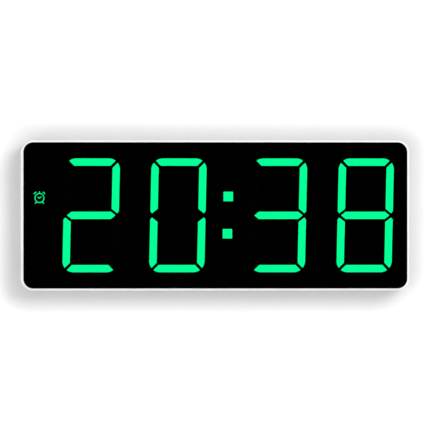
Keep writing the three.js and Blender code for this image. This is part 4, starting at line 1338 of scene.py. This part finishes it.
# Wall and floor: one pale sheet, its section a straight wall, a quarter turn and a flat floor,
# carried along x. Light and the camera pass through it from behind and below.
def makeStage():
    wallY, floorZ = studio["wallY"], studio["floorZ"]
    turn = studio["turn"] * quarterTurn(12)[:, ::-1] * [-1, 1] + [wallY, floorZ]
    wall = [(wallY, studio["height"]), (wallY, studio["wallRow"])]
    section = np.concatenate([wall, turn, [(-studio["reach"], floorZ)]])
    points = [np.insert(section, 0, x, axis=1) for x in (-studio["reach"], studio["reach"])]
    index = np.arange(2 * len(section)).reshape(2, -1)
    faces = np.stack([index[0, :-1], index[0, 1:], index[1, 1:], index[1, :-1]], axis=-1)
    mesh = bpy.data.meshes.new("stageSheet")
    mesh.from_pydata((np.concatenate(points) * mm).tolist(), [], faces.tolist())
    mesh.shade_smooth()
    mesh.materials.append(stageMaterial())
    makeObject("stageSheet", mesh)


makeStage()

card = {
    "place": (0.0, -2.4, 0.0484),  # in metres
    "half": (0.6, 1.0, 0.5),  # half its width and height, and 1 for its depth
    "fade": 0.35,
}


# A dark card behind the camera keeps the glossy front black, as in a studio. Only reflections
# see it, and its edge fades out.
def makeDarkCard():
    corners = [np.array(card["place"]) + np.array(card["half"]) * [x, 0, z] for x, z in signs]
    mesh = bpy.data.meshes.new("darkCard")
    mesh.from_pydata(np.array(corners).tolist(), [], [(0, 1, 2, 3)])
    material, tree, shader = newMaterial("darkCard")
    feedAll(tree, shader, {
        "Base Color": (0, 0, 0, 1), "Roughness": 1.0, "Specular IOR Level": 0.0,
    })
    inputs = {"Vector": objectPlace(tree), "Location": card["place"], "Scale": card["half"]}
    mapping = fedNode(tree, "ShaderNodeMapping", inputs, vector_type="TEXTURE")
    inputs = {"Vector": mapping.outputs["Vector"]}
    ball = fedNode(tree, "ShaderNodeTexGradient", inputs, gradient_type="SPHERICAL")
    fade = ranged(tree, ball.outputs["Fac"], 0.0, card["fade"], 0.0, 1.0)
    mixSurface(tree, fade, None, principled(tree))
    mesh.materials.append(material)
    obj = makeObject("darkCard", mesh)
    obj.visible_camera = obj.visible_diffuse = obj.visible_shadow = False


makeDarkCard()

lamps = {  # place in metres, size and power
    "keyLamp": ((1.0, -2.2, 0.9), 1.3, 43.5),
    "fillLamp": ((-0.95, -2.2, -0.4), 1.1, 15.5),
    "backLampRight": ((0.8, 2.3, 0.5), 1.5, 14.0),
    "backLampLeft": ((-1.5, 1.9, -0.1), 1.2, 34.0),
}


# A lamp: a square panel of light that looks at the clock.
def addLamp(name, place, size, power):
    data = bpy.data.lights.new(name, "AREA")
    data.shape = "SQUARE"
    data.size = size
    data.energy = power
    lamp = makeObject(name, data)
    lamp.location = place
    aim = Vector((0, 0, midHeight * mm)) - Vector(place)
    lamp.rotation_euler = aim.to_track_quat("-Z", "Y").to_euler()
    lamp.visible_camera = False


for name, values in lamps.items():
    addLamp(name, *values)


# The world lights the clock softly, and is white where the camera or a mirror sees it.
def makeWorld():
    world = bpy.data.worlds.new("studioWorld")
    world.use_nodes = True
    tree = world.node_tree
    backdrop = tree.nodes["Background"].inputs
    seen = seenBy(tree, addNode(tree, "ShaderNodeLightPath").outputs)
    strength = ranged(tree, seen, 0.0, 1.0, studio["worldLight"], 1.0)
    feedAll(tree, backdrop, {"Strength": strength, "Color": (1, 1, 1, 1)})
    bpy.context.scene.world = world


makeWorld()

view = {
    "distance": 5000.0,  # from the camera to the front of the clock
    "viewWidth": 276.85,  # what the picture is wide at the front of the clock
    "sideways": -0.33,
    "upwards": 0.28,
    "turn": -2.2,  # degrees that the camera stands to the left of straight on
    "sensor": 36.0,
    "nearest": 0.05,  # in metres, as is the next
    "farthest": 20.0,
}


def makeCamera():
    data = bpy.data.cameras.new("camera")
    data.sensor_width = view["sensor"]
    data.lens = view["sensor"] * view["distance"] / view["viewWidth"]
    data.clip_start, data.clip_end = view["nearest"], view["farthest"]
    camera = makeObject("camera", data)
    aim = np.array([view["sideways"], frontY, midHeight + view["upwards"]])
    swing = math.radians(view["turn"])
    away = np.array([math.sin(swing), -math.cos(swing), 0.0]) * view["distance"]
    camera.location = Vector((aim + away) * mm)
    camera.rotation_euler = (math.radians(90), 0, swing)
    bpy.context.scene.camera = camera


makeCamera()
bpy.context.scene.view_settings.view_transform = "Standard"
print("studio ready")
